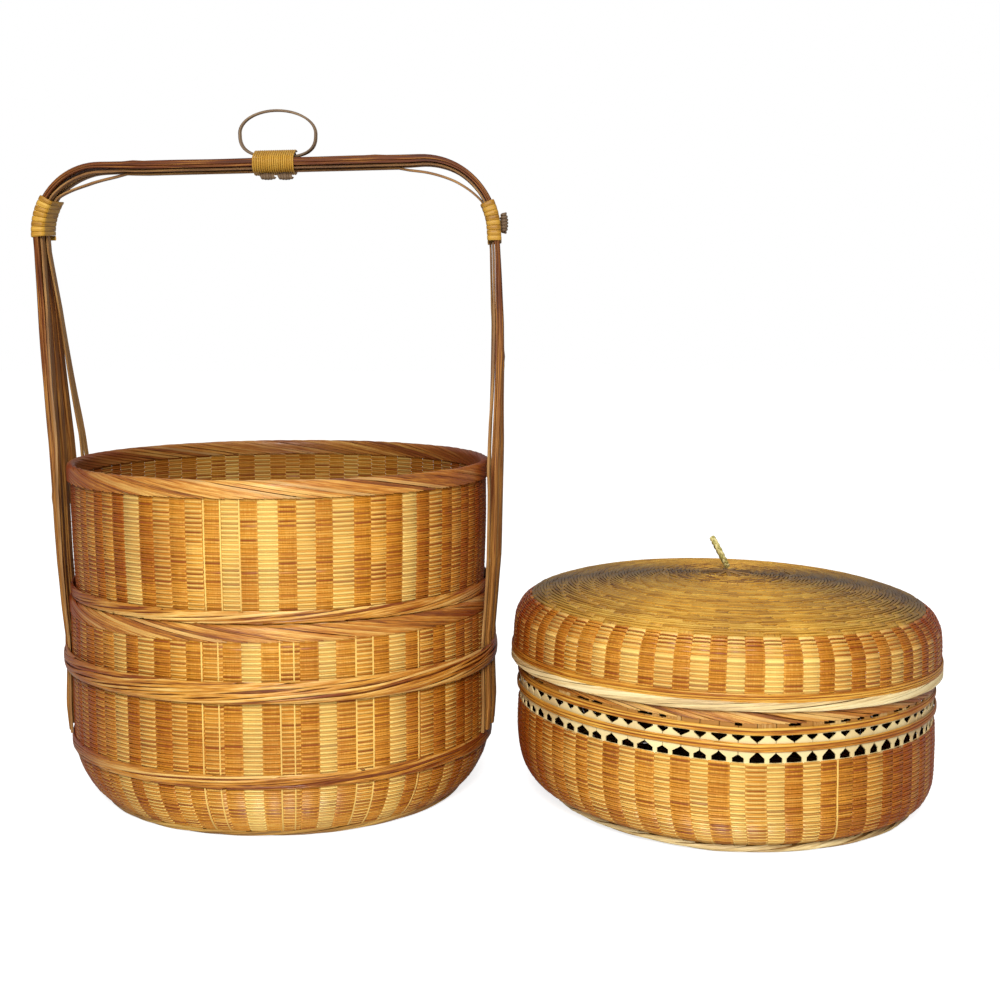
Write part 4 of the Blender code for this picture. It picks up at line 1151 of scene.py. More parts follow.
@dataclass
class Handle:
    """The arched handle: four main splits, three thin slips and what ties them."""

    arch: Arch
    setting: Setting = STACK
    split_width: float = 0.0081
    split_pitch: float = 0.0085
    low_places: tuple[float, ...] = (-0.035, -0.015, 0.005, 0.025)
    gap: float = 0.0003
    slip_thickness: float = 0.0018
    inner_thickness: float = 0.0016
    lash_angles: tuple[tuple[float, float], ...] = ((185.5, 146.3), (-7.4, 26.8))
    lash_turns: int = 8
    lash_gap: float = 0.00015
    cane_thickness: float = 0.0009
    clearance: float = 0.0005
    node_places: tuple[tuple[float, float, float], ...] = (
        (-1, 0.230, 0.0007), (1, 0.330, 0.0007), (1, 0.118, 0.0006), (-1, 0.118, 0.0006))
    bar_nodes: tuple[float, ...] = (-0.106, 0.073)
    seed: int = 11

    def ties(self) -> tuple[float, float]:
        """Where each corner lashing ends, as an angle."""
        return tuple(math.radians(angles[1]) for angles in self.lash_angles)

    def node_swell(self, stations: np.ndarray, shift: float) -> np.ndarray:
        """How far the culm's nodes stand out at each station."""
        swell = np.zeros(len(stations))
        for side, height, amount in self.node_places:
            near = np.exp(-((stations[:, 1] - height - shift) / 0.0022) ** 2)
            swell += np.where(stations[:, 4] == side, near * amount, 0)
        for x in self.bar_nodes:
            near = np.exp(-((stations[:, 0] - x - shift) / 0.0026) ** 2)
            swell += np.where(stations[:, 4] == 0, near * 0.0007, 0)
        return swell

    def strip_tone(self, stations: np.ndarray, bar: float, foot: float) -> np.ndarray:
        """A strip's tone along it: dark where hands hold the bar, lighter down the sides."""
        down = np.clip((0.43 - stations[:, 1]) / 0.18, 0, 1)
        return end_values((bar + (foot - bar) * down)[None])

    def splits(self, material: bpy.types.Material) -> None:
        """The four main splits."""
        rng = np.random.default_rng(self.seed)
        stations = self.arch.stations()
        fan = self.arch.fan(stations)
        thick = self.arch.thickness(stations)
        for number, low in enumerate(self.low_places):
            high = self.split_pitch * (number - 1.5)
            place = high + (low - high) * fan
            swell = self.node_swell(stations, rng.normal(0, 0.003))
            ripple = 0.00012 * np.sin(stations[:, 5] * 90 + rng.random() * TAU)
            points = self.arch.strip_points(
                stations, place, self.split_width * (1 + swell * 60), ripple - swell,
                thick, SPLIT_SECTION)
            name = f"handle_split_{number + 1}"
            tone = self.strip_tone(stations, 0.36 + 0.12 * rng.random(), 0.74)
            piece = strand_batch("bamboo_" + name, self.setting.place(points), tone, 0.0,
                                 38.0)
            dress(piece, "base", material, (name,))

    def slips(self, material: bpy.types.Material) -> None:
        """The three thin slips under the splits."""
        stations = self.arch.stations()
        fan = self.arch.fan(stations)
        thick = self.arch.thickness(stations)
        layer = self.gap
        inner_layer = 2 * self.gap + self.slip_thickness
        table = (
            ("handle_slip_front", -0.0080, -0.0470, 0.0080, 0.0032, layer,
             self.slip_thickness, 0.285, 0.235, (0.0018, 0.0), 0.42),
            ("handle_slip_back", 0.0082, 0.0470, 0.0078, 0.0040, layer,
             self.slip_thickness, 0.285, 0.235, (0.0018, 0.0), 0.5),
            ("handle_slip_inner", 0.0, 0.0360, 0.0070, 0.0030, inner_layer,
             self.inner_thickness, 0.270, 0.215, (0.0064, 0.0052), 0.50))
        for (name, high, low, wide_high, wide_low, depth, thin, tuck_high, tuck_low, bows,
             tone) in table:
            place = high + (low - high) * fan
            width = wide_high + (wide_low - wide_high) * fan
            tucked = np.clip((tuck_high - stations[:, 1]) / (tuck_high - tuck_low), 0, 1)
            tucked = np.where(stations[:, 4] != 0, tucked, 0)
            under = thick + depth + self.arch.bow(stations, bows, self.ties())
            outer = under + (thick - thin - under) * tucked
            points = self.arch.strip_points(stations, place, width, outer, outer + thin,
                                            SLIP_SECTION)
            piece = strand_batch("bamboo_" + name, self.setting.place(points),
                                 self.strip_tone(stations, tone, tone + 0.12), 0.0, 38.0)
            dress(piece, "base", material, (name,))

    def corner_lashing(self, name: str, corner: int, material: bpy.types.Material) -> None:
        """Flat cane wound round a corner of the bundle, as one unbroken strip."""
        depth = self.arch.bar_thickness[-1][1] + 2 * self.gap + self.slip_thickness + (
            self.inner_thickness)
        half_width = self.split_pitch * 1.5 + self.split_width / 2
        room = self.clearance + self.cane_thickness / 2
        near, far, side = -room, depth + room, half_width + room
        rounding = 0.0030
        loop, out = [], []
        for deep, across, first in ((far - rounding, side - rounding, 0),
                                    (near + rounding, side - rounding, 90),
                                    (near + rounding, rounding - side, 180),
                                    (far - rounding, rounding - side, 270)):
            for step in range(0, 91, 18):
                turn = math.radians(first + step)
                way = (math.cos(turn), math.sin(turn))
                loop.append((deep + rounding * way[0], across + rounding * way[1]))
                out.append(way)
        loop, out = np.array(loop), np.array(out)
        steps = np.linalg.norm(np.roll(loop, -1, axis=0) - loop, axis=1)
        share = np.concatenate([[0], np.cumsum(steps)])[:-1] / steps.sum()
        first, last = (math.radians(angle) for angle in self.lash_angles[corner])
        way = 1 if last > first else -1
        inner = self.arch.arcs[corner][1] - depth - self.clearance - self.cane_thickness
        gap = self.lash_gap / inner
        pitch = (abs(last - first) + gap) / (self.lash_turns + 1)
        half = (pitch - gap) / 2
        count = self.lash_turns * len(loop) + 1
        whole, part = np.divmod(np.arange(count), len(loop))
        middle = first + way * (half + pitch * (whole + share[part]))
        section = np.array([(-1, -0.5), (-1, 0.1), (-0.8, 0.4), (0, 0.5), (0.8, 0.4),
                            (1, 0.1), (1, -0.5)])
        corners = []
        for across, layer in section:
            reach = layer * self.cane_thickness
            flat = self.arch.on_arc(corner, middle + across * half,
                                    loop[part, 0] + out[part, 0] * reach)
            corners.append(np.stack([flat[:, 0], loop[part, 1] + out[part, 1] * reach,
                                     flat[:, 1]], axis=-1))
        points = np.stack(corners, axis=1)[None]
        points = np.concatenate([points, points[:, :, :1]], axis=2)
        caps = [np.broadcast_to(points[:, at, :-1].mean(axis=2, keepdims=True),
                                points[:, at].shape) for at in (slice(0, 1), slice(-1, None))]
        points = np.concatenate([caps[0], points, caps[1]], axis=1)
        tone = 0.55 + 0.16 * np.sin(whole * 2.4 + corner) + 0.1 * np.sin(share[part] * 9)
        piece = strand_batch("cane_" + name, self.setting.place(points),
                             end_values(tone[None]), 0.0, 45.0)
        dress(piece, "base", material, (name,))

    def bar_height(self, x: np.ndarray) -> np.ndarray:
        """The height of the bar's outer face."""
        (x_left, z_left), (x_right, z_right) = self.arch.left_corner, self.arch.right_corner
        return z_left + (z_right - z_left) * (x - x_left) / (x_right - x_left)

    def centre_lashing(self, material: bpy.types.Material, turns: int = 19,
                       radius: float = 0.00076) -> None:
        """Fine cane over the ring's foot and round the middle of the bar."""
        room = self.gap + radius
        side = self.split_pitch * 1.5 + self.split_width / 2 + room
        low = -(0.0060 + 2 * self.gap + self.slip_thickness + self.inner_thickness
                + room + self.gap)
        half = [(0.0029 + 0.0011 + room, 0.0056), (side, 0.0004), (side, -0.0066),
                (0.0133, -0.0094), (0.0050, low)]
        corners = np.array(half + [(-across, height) for across, height in half[::-1]])
        closed = np.vstack([corners, corners[:1]])
        steps = np.linalg.norm(np.diff(closed, axis=0), axis=1)
        run = np.concatenate([[0], np.cumsum(steps)])
        count = 22 * turns
        share = np.arange(count + 1) / 22
        part = (share % 1.0) * run[-1]
        across = np.interp(part, run, closed[:, 0])
        height = np.interp(part, run, closed[:, 1])
        x = -0.0162 + (0.0146 + 0.0162) * share / turns
        centres = np.stack([x, across, self.bar_height(x) + height], axis=-1)[None]
        middle = np.stack([x, np.zeros(len(x)), self.bar_height(x) - 0.003], axis=-1)[None]
        points = sweep(centres, unit(centres - middle), oval(2 * radius, 2 * radius, 8),
                       Ends.CUT)
        piece = strand_batch("cane_centre_lashing", self.setting.place(points),
                             np.array([0.6]), 0.0, 80.0)
        dress(piece, "base", material, ("centre_lashing",))

    def hanging_ring(self, material: bpy.types.Material, radius: float = 0.0009) -> None:
        """The ring over the bar: one cane taken twice round."""
        per_turn, turns = 64, 2
        total = per_turn * turns
        count = np.arange(total + 1)
        turn = TAU * count / per_turn
        sideways = -np.sin(turn)
        low = -0.0175 * (1 - np.abs(sideways) ** 2.8) ** (1 / 2.8)
        height = np.where(np.cos(turn) > 0, low, -0.0166 * np.cos(turn))
        across = 0.0029 * turns * (count / total - 0.5)
        shift = 0.0030 * (count / total - 0.5) * np.cos(turn / 2)
        centres = np.stack([0.0014 + 0.0278 * sideways + shift, across, 0.4998 + height],
                           axis=-1)[None]
        middle = np.array([0.0014, 0.0, 0.4998])
        normals = unit((centres - middle) * np.array([1.0, 0.2, 1.0]))
        points = sweep(centres, normals, oval(2 * radius, 2 * radius, 9), Ends.CUT)
        piece = strand_batch("cane_hanging_ring", self.setting.place(points),
                             np.array([0.5]), 0.0, 80.0)
        dress(piece, "base", material, ("hanging_ring",))

    def build(self, split: bpy.types.Material, slip: bpy.types.Material,
              cane: bpy.types.Material, ring: bpy.types.Material) -> None:
        """Builds the handle: its splits, slips, lashings and ring."""
        self.splits(split)
        self.slips(slip)
        self.corner_lashing("left_lashing", 0, cane)
        self.corner_lashing("right_lashing", 1, cane)
        self.centre_lashing(cane)
        self.hanging_ring(ring)


@dataclass
class LidTop:
    """The crossed stakes and the braided loop at the middle of the lid."""

    setting: Setting = LID
    crown_top: float = 0.1730
    arms: int = 12
    reach: float = 0.0200
    arm_width: float = 0.0028
    loop_length: float = 0.0245
    loop_width: float = 0.0200
    loop_lean: float = math.radians(-29)
    seed: int = 21

    def star(self, material: bpy.types.Material) -> None:
        """The ends of the crossed stakes, a flat star over the first wefts."""
        rng = np.random.default_rng(self.seed)
        half = self.arms // 2
        along = np.linspace(-1, 1, 15)
        strips = []
        for number in range(half):
            turn = math.pi * number / half + rng.normal(0, 0.05)
            x = along * self.reach * (1 + rng.normal(0, 0.03))
            rise = self.crown_top + 0.0003 + 0.00014 * (number + 1) * np.exp(
                -(along / 0.25) ** 2) - 0.0009 * along ** 6
            centres = np.stack([x * math.cos(turn), x * math.sin(turn), rise], axis=-1)
            strips.append(centres)
        centres = np.array(strips)
        normals = np.broadcast_to(np.array([0.0, 0.0, 1.0]), centres.shape)
        points = sweep(centres, normals, strip(self.arm_width, 0.0005, 0.0001), Ends.CUT)
        tone = np.clip(rng.normal(0.30, 0.15, half), 0, 1)
        piece = strand_batch("crossed_stakes", self.setting.place(points), tone, 0.1)
        dress(piece, "lid", material, ("lid_centre_star",))

    def loop(self, material: bpy.types.Material) -> None:
        """The lifting loop: three straws braided and bent to a ring."""
        count = 150
        turn = TAU * (np.arange(count) + 0.5) / count
        across = self.loop_width / 2 * np.sin(turn) * np.abs(np.sin(turn / 2)) ** 0.35
        up = self.loop_length / 2 * (1 - np.cos(turn))
        line = np.stack([np.zeros(count), across, up], axis=-1)
        onward = unit(np.roll(line, -1, axis=0) - np.roll(line, 1, axis=0))
        side = np.array([1.0, 0.0, 0.0])
        out = np.cross(onward, side)
        strands = []
        for number in range(3):
            beat = turn * 6 + TAU * number / 3
            strands.append(line + side * (0.00105 * np.sin(beat))[:, None]
                           + out * (0.00055 * np.sin(2 * beat))[:, None])
        centres = np.array(strands)
        cos, sin = math.cos(self.loop_lean), math.sin(self.loop_lean)
        lift = self.crown_top + 0.0012 + 0.0006 + 0.0021

        def lean(points: np.ndarray) -> np.ndarray:
            """Leans points about the loop's foot."""
            x, y, z = points[..., 0], points[..., 1], points[..., 2]
            return np.stack([x * cos + z * sin, y, z * cos - x * sin], axis=-1)

        normals = np.broadcast_to(out, centres.shape)
        points = sweep(lean(centres), lean(normals), oval(0.0022, 0.0016, 7), Ends.RING)
        points = points + np.array([0.0, 0.0, lift])
        piece = strand_batch("braided_loop", self.setting.place(points),
                             np.array([0.35, 0.6, 0.8]), np.array([0.1, 0.3, 0.5]), 80.0)
        dress(piece, "lid_loop", material, ("lid_loop",))


@dataclass
class Studio:
    """A white sweep of floor, soft light from the front and the photograph's camera."""

    lens: float = 59.68
    camera_place: tuple[float, float, float] = (0.0098, -1.25205, 0.3795)
    pitch: float = 7.05

    def camera(self) -> None:
        """The camera at the photograph's angle."""
        lens = bpy.data.cameras.new("photo_camera")
        lens.lens = self.lens
        lens.sensor_width = 36.0
        lens.clip_start = 0.05
        holder = bpy.data.objects.new("photo_camera", lens)
        holder.location = self.camera_place
        holder.rotation_euler = (math.radians(90 - self.pitch), 0.0, 0.0)
        bpy.context.scene.collection.objects.link(holder)
        bpy.context.scene.camera = holder

    def floor(self) -> None:
        """A wide white floor that glows a little, as a lit paper sweep does."""
        deselect()
        bpy.ops.mesh.primitive_plane_add(size=14.0, location=(0, 0, -0.0003))
        sheet = bpy.context.object
        sheet.name = "white_floor"
        paper = bpy.data.materials.new("white_paper_sweep")
        paper.use_nodes = True
        shader = paper.node_tree.nodes["Principled BSDF"]
        shader.inputs["Base Color"].default_value = linear("D8D8D8")
        shader.inputs["Roughness"].default_value = 0.9
        shader.inputs["Emission Color"].default_value = linear("FFFFFF")
        seen = add_node(paper.node_tree, "ShaderNodeLightPath")
        glow = add_node(paper.node_tree, "ShaderNodeMath", {
            0: seen.outputs["Is Camera Ray"], 1: 0.80}, operation="MULTIPLY")
        paper.node_tree.links.new(glow.outputs[0], shader.inputs["Emission Strength"])
        sheet.data.materials.append(paper)

    def light(self, name: str, place: tuple[float, float, float],
              target: tuple[float, float, float], size: float, power: float) -> None:
        """A square softbox turned to a point."""
        box = bpy.data.lights.new(name, "AREA")
        box.size = size
        box.energy = power
        holder = bpy.data.objects.new(name, box)
        holder.location = place
        gaze = np.array(target) - np.array(place)
        yaw = math.atan2(-gaze[0], gaze[1])
        dip = math.atan2(gaze[2], math.hypot(gaze[0], gaze[1]))
        holder.rotation_euler = (math.pi / 2 + dip, 0.0, yaw)
        bpy.context.scene.collection.objects.link(holder)

    def world(self) -> None:
        """White behind everything, with a softer share of it as fill."""
        sky = bpy.data.worlds.new("white_room")
        sky.use_nodes = True
        bpy.context.scene.world = sky
        tree = sky.node_tree
        back = tree.nodes["Background"]
        seen = add_node(tree, "ShaderNodeLightPath")
        power = add_node(tree, "ShaderNodeMapRange", {
            "Value": seen.outputs["Is Camera Ray"], "To Min": 0.36, "To Max": 1.0})
        back.inputs["Color"].default_value = linear("FFFFFF")
        tree.links.new(power.outputs["Result"], back.inputs["Strength"])

    def build(self) -> None:
        """Sets up the studio."""
        self.camera()
        self.floor()
        self.light("front_softbox", (-0.05, -1.75, 0.95), (0.0, 0.0, 0.2), 0.5, 34.0)
        self.light("top_softbox", (0.0, -0.2, 2.2), (0.0, 0.0, 0.0), 1.8, 11.0)
        self.world()
        bpy.context.scene.view_settings.view_transform = "Standard"


BASE_LINE = Profile(((0.1368, 0.0048), (0.1400, 0.0063), (0.1475, 0.0140), (0.1535, 0.0240),
                     (0.1575, 0.0340), (0.1598, 0.0500), (0.1602, 0.0950), (0.1600, 0.1478)))
MIDDLE_LINE = Profile(((0.1360, 0.1358), (0.1392, 0.1373), (0.1465, 0.1455), (0.1515, 0.1530),
                       (0.1545, 0.1575), (0.1560, 0.1690), (0.1574, 0.2100),
                       (0.1574, 0.2462)))
TOP_LINE = Profile(((0.1336, 0.0048), (0.1368, 0.0063), (0.1430, 0.0090), (0.1482, 0.0125),
                    (0.1533, 0.0210), (0.1556, 0.0310), (0.1565, 0.0440), (0.1566, 0.0550),
                    (0.1560, 0.0688)))
SKIRT_LINE = Profile(((0.1599, 0.1118), (0.1596, 0.1290), (0.1584, 0.1397)))
SHOULDER_LINE = Profile(((0.1584, 0.1396), (0.1556, 0.1455), (0.1526, 0.1497),
                         (0.1468, 0.1541)))
DOME_LINE = Profile(((0.1470, 0.1540), (0.1400, 0.1578), (0.1180, 0.1643), (0.0900, 0.1686),
                     (0.0600, 0.1715), (0.0460, 0.17215)))
DOME_MIDDLE = Profile(((0.0462, 0.17215), (0.0300, 0.1726), (0.0060, 0.1730)))

# (tone, pale) of the stakes that face the camera, counted to the right
BASE_LOOKS = {
    -12: (0.55, 0.25), -10: (0.75, 0.70), -9: (0.32, 0.0), -8: (0.75, 0.50), -7: (0.40, 0.0),
    -6: (0.65, 0.30), -5: (0.52, 0.0), -4: (0.60, 0.20), -3: (0.55, 0.05), -2: (0.85, 0.90),
    -1: (0.60, 0.05), 0: (0.62, 0.20), 1: (0.55, 0.05), 2: (0.85, 0.90), 3: (0.60, 0.05),
    4: (0.66, 0.35), 5: (0.50, 0.0), 6: (0.80, 0.75), 7: (0.40, 0.0), 8: (0.62, 0.30),
    9: (0.35, 0.0), 10: (0.68, 0.50), 11: (0.30, 0.0), 12: (0.60, 0.25)}
# Stakes -3 and 1 of the middle tray are paled as painted highlight, for the front gloss on them
MIDDLE_LOOKS = {
    -13: (0.60, 0.40), -12: (0.30, 0.0), -11: (0.60, 0.35), -10: (0.20, 0.0),
    -9: (0.85, 0.90), -8: (0.40, 0.0), -7: (0.62, 0.35), -6: (0.55, 0.05), -5: (0.72, 0.30),
    -4: (0.60, 0.05), -3: (0.88, 0.75), -2: (0.60, 0.05), -1: (0.85, 0.92), 0: (0.56, 0.05),
    1: (0.85, 0.62), 2: (0.55, 0.05), 3: (0.80, 0.65), 4: (0.50, 0.0), 5: (0.62, 0.30),
    6: (0.45, 0.0), 7: (0.85, 0.90), 8: (0.30, 0.0), 9: (0.62, 0.45), 10: (0.35, 0.0),
    11: (0.60, 0.25), 12: (0.28, 0.0), 13: (0.48, 0.25)}
TOP_LOOKS = {
    -12: (0.60, 0.45), -8: (0.66, 0.50), -6: (0.70, 0.55), -4: (0.75, 0.55), -2: (0.76, 0.60),
    0: (0.85, 0.80), 1: (0.70, 0.40), 2: (0.85, 0.80), 3: (0.50, 0.0), 4: (0.80, 0.65),
    5: (0.45, 0.0), 6: (0.34, 0.05), 7: (0.28, 0.0), 8: (0.60, 0.35), 9: (0.20, 0.0),
    10: (0.22, 0.0), 11: (0.20, 0.0)}
SKIRT_LOOKS = {
    -6: (0.76, 0.62), -4: (0.78, 0.70), -2: (0.86, 0.88), 0: (0.86, 0.90), 2: (0.86, 0.85),
    4: (0.76, 0.60), 6: (0.70, 0.50), -1: (0.55, 0.05), 1: (0.55, 0.05), 3: (0.45, 0.0),
    5: (0.40, 0.0)}


def floor_line(foot: float) -> Profile:
    """The upper face of a tray's floor, from its foot ring to the middle."""
    top = foot + 0.0057
    return Profile(((0.1300, top), (0.0700, top), (0.0016, top)))


def weave_walls(finishes: dict[str, bpy.types.Material]) -> None:
    """Weaves the four walls, the lid's crown and the three floors."""
    WovenWall("woven_base_wall", "base", STACK, BASE_LINE, STACK_FACING, finishes["weave"],
              "weave", ("base_wall",), looks=BASE_LOOKS,
              glint_angles=(-103.1, -98.8, -83.6, -80.2, -64.6, -60.0, -46.4), seed=1).build()
    WovenWall("woven_middle_wall", "middle_tray", STACK, MIDDLE_LINE, STACK_FACING,
              finishes["weave"], "weave", ("middle_wall",), pale_parity=1,
              looks=MIDDLE_LOOKS, glint_angles=(-102.2, -97.9, -93.1), seed=2).build()
    WovenWall("woven_top_wall", "top_tray", TOP, TOP_LINE, LIDDED_FACING,
              finishes["lid_weave"], "weave", ("top_wall",), looks=TOP_LOOKS,
              glint_angles=(-68.1,), seed=3).build()
    skirt_facing = math.radians(-87.95)
    WovenWall("woven_lid_skirt", "lid", LID, SKIRT_LINE, skirt_facing,
              finishes["lid_weave"], "weave", ("lid_skirt",), stakes=80,
              pale_tone=(0.74, 0.62), looks=SKIRT_LOOKS, seed=4).build()
    shoulder = WovenWall("lid_shoulder", "lid", LID, SHOULDER_LINE, skirt_facing,
                         finishes["lid_weave"], "weave", (), stakes=80,
                         pale_tone=(0.66, 0.45), looks={
                             number: (tone - 0.06, share * 0.7)
                             for number, (tone, share) in SKIRT_LOOKS.items()}, seed=4)
    dome = WovenWall("lid_dome", "lid", LID, DOME_LINE, skirt_facing, finishes["crown"],
                     "crown", (), stakes=80, row_pitch=0.0024, weft_height=0.0020,
                     weft_thickness=0.0013, reach=0.0005, floats=5, pale_tone=(0.50, 0.05),
                     plain_tone=(0.50, 0.05), weft_tone=(0.53, 0.11), cell_tone=0.02,
                     shadow_dashes=0.0, seed=6)
    middle = WovenWall("lid_dome_middle", "lid", LID, DOME_MIDDLE, skirt_facing,
                       finishes["crown"], "crown", (), stakes=40, row_pitch=0.0022,
                       weft_height=0.0019, weft_thickness=0.0012, floats=3,
                       pale_tone=(0.42, 0.05), plain_tone=(0.42, 0.05),
                       weft_tone=(0.42, 0.16), cell_tone=0.03, seed=7)
    shoulder.build()
    dress(joined("woven_lid_crown", [dome.wefts(), middle.wefts()]), "lid",
          finishes["crown"], ("lid_crown",))
    dress(joined("lid_crown_stakes", [dome.uprights(), middle.uprights()]), "lid",
          finishes["crown"], ())
    floors = (("base", "base", STACK, 0.0), ("middle", "middle_tray", STACK, 0.1310),
              ("top", "top_tray", TOP, 0.0))
    for seed, (prefix, body, setting, foot) in enumerate(floors):
        WovenWall(f"woven_{prefix}_floor", body, setting, floor_line(foot), STACK_FACING,
                  finishes["inside"], "weave", (prefix + "_floor",), stakes=34,
                  row_pitch=0.0037, weft_height=0.0036, weft_thickness=0.0010, wall=0.0026,
                  seed=30 + seed).build()


def rim_line(inner: float, outer: float, low: float, high: float, inset: float
             ) -> tuple[tuple[float, float], ...]:
    """The line that a border's strands follow: up the outer side, over and down inside."""
    roll = (outer - inner) / 2
    crown = (inner + outer) / 2
    small = roll - inset
    over = [(crown + small * math.cos(turn), high - roll + small * math.sin(turn))
            for turn in (0, math.radians(45), math.radians(90), math.radians(135), math.pi)]
    return ((outer - inset, low), *over, (inner + inset, low + 0.001))


def bind_borders(finishes: dict[str, bpy.types.Material]) -> None:
    """Plaits the rims, twines the bands and binds the feet."""
    border = finishes["border"]
    PlaitedRim("plaited_base_rim", "base", STACK,
               rim_line(0.1552, 0.1604, 0.1450, 0.1567, 0.0006), 0.90, 0.0030, 0.0009,
               core=(0.1578, 0.1510, 0.0030, 0.0085), stations=30, seed=41).build(
                   "border", border, ("base_rim_border",))
    PlaitedRim("plaited_middle_rim", "middle_tray", STACK,
               rim_line(0.1532, 0.1598, 0.2434, 0.2556, 0.0006), 0.95, 0.0030, 0.0009,
               core=(0.1565, 0.2496, 0.0042, 0.0090), stations=30, seed=42).build(
                   "border", border, ("middle_rim_border",))
    PlaitedRim("plaited_top_rim", "top_tray", TOP,
               rim_line(0.1500, 0.1557, 0.0962, 0.1175, 0.0006), 1.45, 0.0032, 0.0009,
               facing=LIDDED_FACING, stations=44, core=(0.1528, 0.1065, 0.0034, 0.0200),
               seed=43).build("border", finishes["lid_border"], ("top_rim_border",))
    TwinedBand("twined_lower_wale", "base", STACK, 0.1605, 0.0470, 0.0006, 0.0043, 10, 2,
               0.0018, 0.0011, tone=(0.48, 0.20), stations=304, seed=51).build(
                   "band", finishes["band"], ("base_lower_wale",))
    TwinedBand("twined_upper_wale", "base", STACK, 0.1634, 0.1105, 0.0020, 0.0073, 16, 2,
               0.0020, 0.0012, tone=(0.48, 0.20), stations=304, seed=52).build(
                   "band", finishes["band"], ("base_upper_wale",))
    TwinedBand("twined_ledge", "middle_tray", STACK, 0.1582, 0.1617, 0.0009, 0.0039, 10, 4,
               0.0019, 0.0011, tone=(0.50, 0.20), stations=304, seed=53).build(
                   "band", finishes["band"], ("middle_ledge_wale",))
    TwinedBand("twined_middle_band", "top_tray", TOP, 0.1559, 0.0798, 0.0005, 0.0024, 6, 1,
               0.0014, 0.0010, tone=(0.62, 0.16), seed=54).build(
                   "band", finishes["honey"], ("top_mid_band",))
    TwinedBand("twined_upper_band", "top_tray", TOP, 0.1552, 0.0907, 0.0006, 0.0021, 5, 1,
               0.0015, 0.0010, tone=(0.55, 0.16), seed=55).build(
                   "weave", finishes["honey"], ("top_upper_band",))
    TwinedBand("twined_skirt_band", "lid", LID, 0.1601, 0.1146, 0.0004, 0.0025, 8, 1,
               0.0012, 0.0010, tone=(0.48, 0.20), seed=57).build("band", finishes["honey"], ())
    TwinedBand("twined_rest_hoop", "lid", LID, 0.1529, 0.1205, 0.0030, 0.0019, 6, 10,
               0.0030, 0.0014, seed=56).build("band", finishes["band"], ("lid_rest_hoop",))
    feet = (("base", "base", STACK, 0.0, 0.1390, "foot_straw"),
            ("middle", "middle_tray", STACK, 0.1310, 0.1384, "foot_straw"),
            ("top", "top_tray", TOP, 0.0, 0.1360, "straw"))
    for seed, (prefix, body, setting, foot, flare, finish) in enumerate(feet):
        line = ((flare - 0.0003, foot + 0.0058), (0.1366, foot + 0.0030),
                (0.1340, foot + 0.0013), (0.1312, foot + 0.0012), (0.1288, foot + 0.0014),
                (0.1286, foot + 0.0052))
        PlaitedRim(f"bound_{prefix}_foot", body, setting, line, 0.95, 0.0042, 0.0009,
                   strands=26, splints=3, fullness=0.76, lean=0.14,
                   tone=(0.52, 0.26), pale=0.20, core=(0.1325, foot + 0.0033, 0.0070, 0.0046),
                   stations=44, seed=61 + seed).build(
                       "straw", finishes[finish], (prefix + "_foot_ring",))
    edge = ((0.1572, 0.1120), (0.1600, 0.1119), (0.1603, 0.1090), (0.1601, 0.1062),
            (0.1572, 0.1060))
    PlaitedRim("bound_lid_edge", "lid", LID, edge, 1.00, 0.0036, 0.0009, strands=26,
               splints=3, fullness=0.78, facing=LIDDED_FACING, tone=(0.55, 0.24), pale=0.35,
               lean=0.14, core=(0.1584, 0.1090, 0.0022, 0.0050), stations=44, seed=65).build(
                   "straw", finishes["straw"], ("lid_edge_border",))


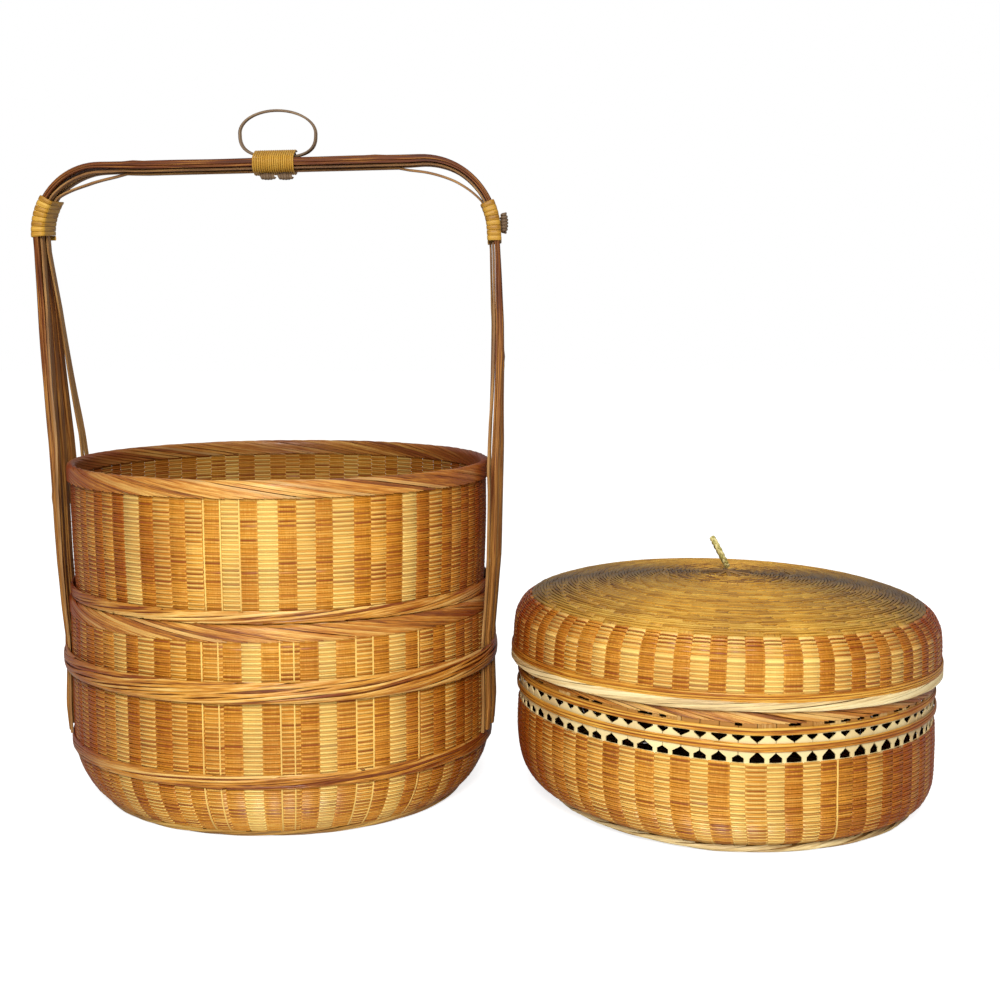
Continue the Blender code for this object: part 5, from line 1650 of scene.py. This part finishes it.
def make_finishes() -> dict[str, bpy.types.Material]:
    """Makes the finishes of bamboo, cane and straw."""
    weave = dict(dark="8E4808", middle="D28E26", light="EDC060", pale="F8E890",
                 patina_and_shade="8E3A02", coat=0.04, roughness=0.42)
    lidded = dict(centre=LIDDED_CENTRE, facing=LIDDED_FACING)
    plait = dict(dark="622A08", middle="C27C24", light="E2B45E", patina_and_shade="843206", coat=0.06,
                 roughness=0.40, fibre_depth=0.55, fibre_mm=0.7)
    return {
        "weave": BambooFinish("golden_bamboo_weave", **weave, flank_shade_share=0.86).make(),
        "lid_weave": BambooFinish("honey_bamboo_weave", **weave, flank_shade_share=0.92,
                                  **lidded).make(),
        "inside": BambooFinish("brown_bamboo_floor", "5A2E0C", "84501C", "B07E38",
                               patina_share=0.5).make(),
        "border": BambooFinish("plaited_red_bamboo", **plait, flank_shade_share=0.80).make(),
        "lid_border": BambooFinish("plaited_orange_bamboo", **plait, flank_shade_share=0.75,
                                   **lidded).make(),
        "band": BambooFinish("twined_bamboo", "6E3408", "CC8C2C", "EDC470", coat=0.06,
                             patina_and_shade="843206", flank_shade_share=0.82, roughness=0.40,
                             fibre_mm=0.7, fibre_depth=0.5).make(),
        "honey": BambooFinish("honey_bamboo_strands", "8E4A0C", "CE8C26", "E9B84E",
                              patina_and_shade="8A3E0C", **lidded, flank_shade_share=0.60, fibre_mm=0.6,
                              fibre_depth=0.5).make(),
        "straw": BambooFinish("pale_straw_binding", "966A30", "E0C07C", "F4E2AC",
                              pale="F6E8B8", patina_and_shade="9A6A2C", patina_share=0.30,
                              roughness=0.5, flank_shade_share=0.30, **lidded,
                              fibre_depth=0.6).make(),
        "foot_straw": BambooFinish("golden_straw_binding", "6A3C10", "BC8426", "E0B458",
                                   patina_share=0.35, roughness=0.5, flank_shade_share=0.6,
                                   fibre_depth=0.55).make(),
        "open": BambooFinish("cream_bamboo_stakes", "A8742C", "DCBC78", "EFDDA4",
                             pale="EFDFA4", patina_and_shade="8A4A14", patina_share=0.25,
                             flank_shade_share=0.5, roughness=0.45, **lidded).make(),
        "crown": BambooFinish("lid_crown_bamboo", "7A4812", "C48E2C", "E0B44E",
                              patina_and_shade="4E3A28", patina_share=0.25, flank_shade_share=0.78,
                              flank_shade=(0.0, 0.95), roughness=0.45, inner_shade_share=0.0,
                              fibre_depth=0.45, **lidded).make(),
        "split": BambooFinish("polished_bamboo_splits", "341606", "6A3412", "B27C38",
                              patina_and_shade="421C08", patina_share=0.45, roughness=0.5,
                              fibre_mm=0.8, streak_mm=45.0, fibre_depth=0.75, coat=0.0,
                              specular=0.12).make(),
        "slip": BambooFinish("grey_bamboo_slips", "4A2A10", "8E6230", "C49A5C",
                             patina_and_shade="5A3618", fibre_mm=0.8, streak_mm=40.0,
                             fibre_depth=0.6, roughness=0.55, coat=0.0,
                             specular=0.25).make(),
        "cane": BambooFinish("yellow_split_cane", "7A4E12", "B8862A", "D4AA4A",
                             patina_and_shade="6E4A1C", roughness=0.45, fibre_mm=0.6,
                             fibre_depth=0.5, coat=0.0, specular=0.25).make(),
        "ring": BambooFinish("weathered_brown_cane", "3E2C1C", "76604A", "A08664",
                             patina_and_shade="3A2818", roughness=0.55, fibre_mm=0.6,
                             fibre_depth=0.6, coat=0.0, specular=0.25).make(),
        "braid": BambooFinish("green_braided_straw", "7E7A38", "B0A250", "DCCB84",
                              pale="E6DFAE", patina_and_shade="6E6030", roughness=0.55).make(),
    }


def wind_lump(node: bpy.types.Object, axis: int, turns: int, grow: tuple[float, ...],
              material: bpy.types.Material) -> None:
    """Winds thin cane into a short spindle, as the knot and the ring's tails are.

    Args:
        node: The solid lump whose place the winding takes.
        axis: The axis the cane goes round.
        turns: How many turns it makes.
        grow: How much larger than the solid it is on each axis, to either side.
        material: Its finish.
    """
    corners = np.array([tuple(node.matrix_world @ mathutils.Vector(corner))
                        for corner in node.bound_box])
    low, high = corners.min(axis=0), corners.max(axis=0)
    radius = 0.0010
    half = (high - low) / 2 + np.array(grow) - radius
    share = np.linspace(0, 1, 16 * turns + 1)
    turn = TAU * turns * share
    swell = np.sqrt(1 - 0.7 * (2 * share - 1) ** 2)
    first, second = (other for other in range(3) if other != axis)
    offset = np.zeros((len(share), 3))
    offset[:, first] = half[first] * swell * np.cos(turn)
    offset[:, second] = half[second] * swell * np.sin(turn)
    normals = unit(offset)
    offset[:, axis] = half[axis] * (2 * share - 1)
    points = sweep(((low + high) / 2 + offset)[None], normals[None],
                   oval(2.3 * radius, 1.6 * radius), Ends.CUT)
    piece = strand_batch("wound_" + node.name, points, np.array([0.45]), 0.0, 60.0)
    dress(piece, "base", material, (node.name,))


def wind_lumps(frame: dict, material: bpy.types.Material) -> None:
    """The knot at the right corner and the two tails of the ring under the bar."""
    nodes = frame["nodes"]
    wind_lump(nodes["right_lashing_knot"], 2, 6, (0.0008, 0.0, 0.0), material)
    for name in ("ring_tail_left", "ring_tail_right"):
        wind_lump(nodes[name], 0, 5, (0.0006, 0.0, 0.0016), material)


def main() -> None:
    """Builds the pieces in order."""
    logging.basicConfig(level=logging.INFO, format="%(message)s")
    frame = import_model()
    finishes = make_finishes()
    Studio().build()
    weave_walls(finishes)
    bind_borders(finishes)
    Openwork("cream_openwork", "top_tray", TOP).build(finishes["open"])
    Handle(Arch()).build(finishes["split"], finishes["slip"], finishes["cane"],
                         finishes["ring"])
    top = LidTop()
    top.star(finishes["slip"])
    top.loop(finishes["braid"])
    wind_lumps(frame, finishes["ring"])


if __name__ == "__main__":
    main()
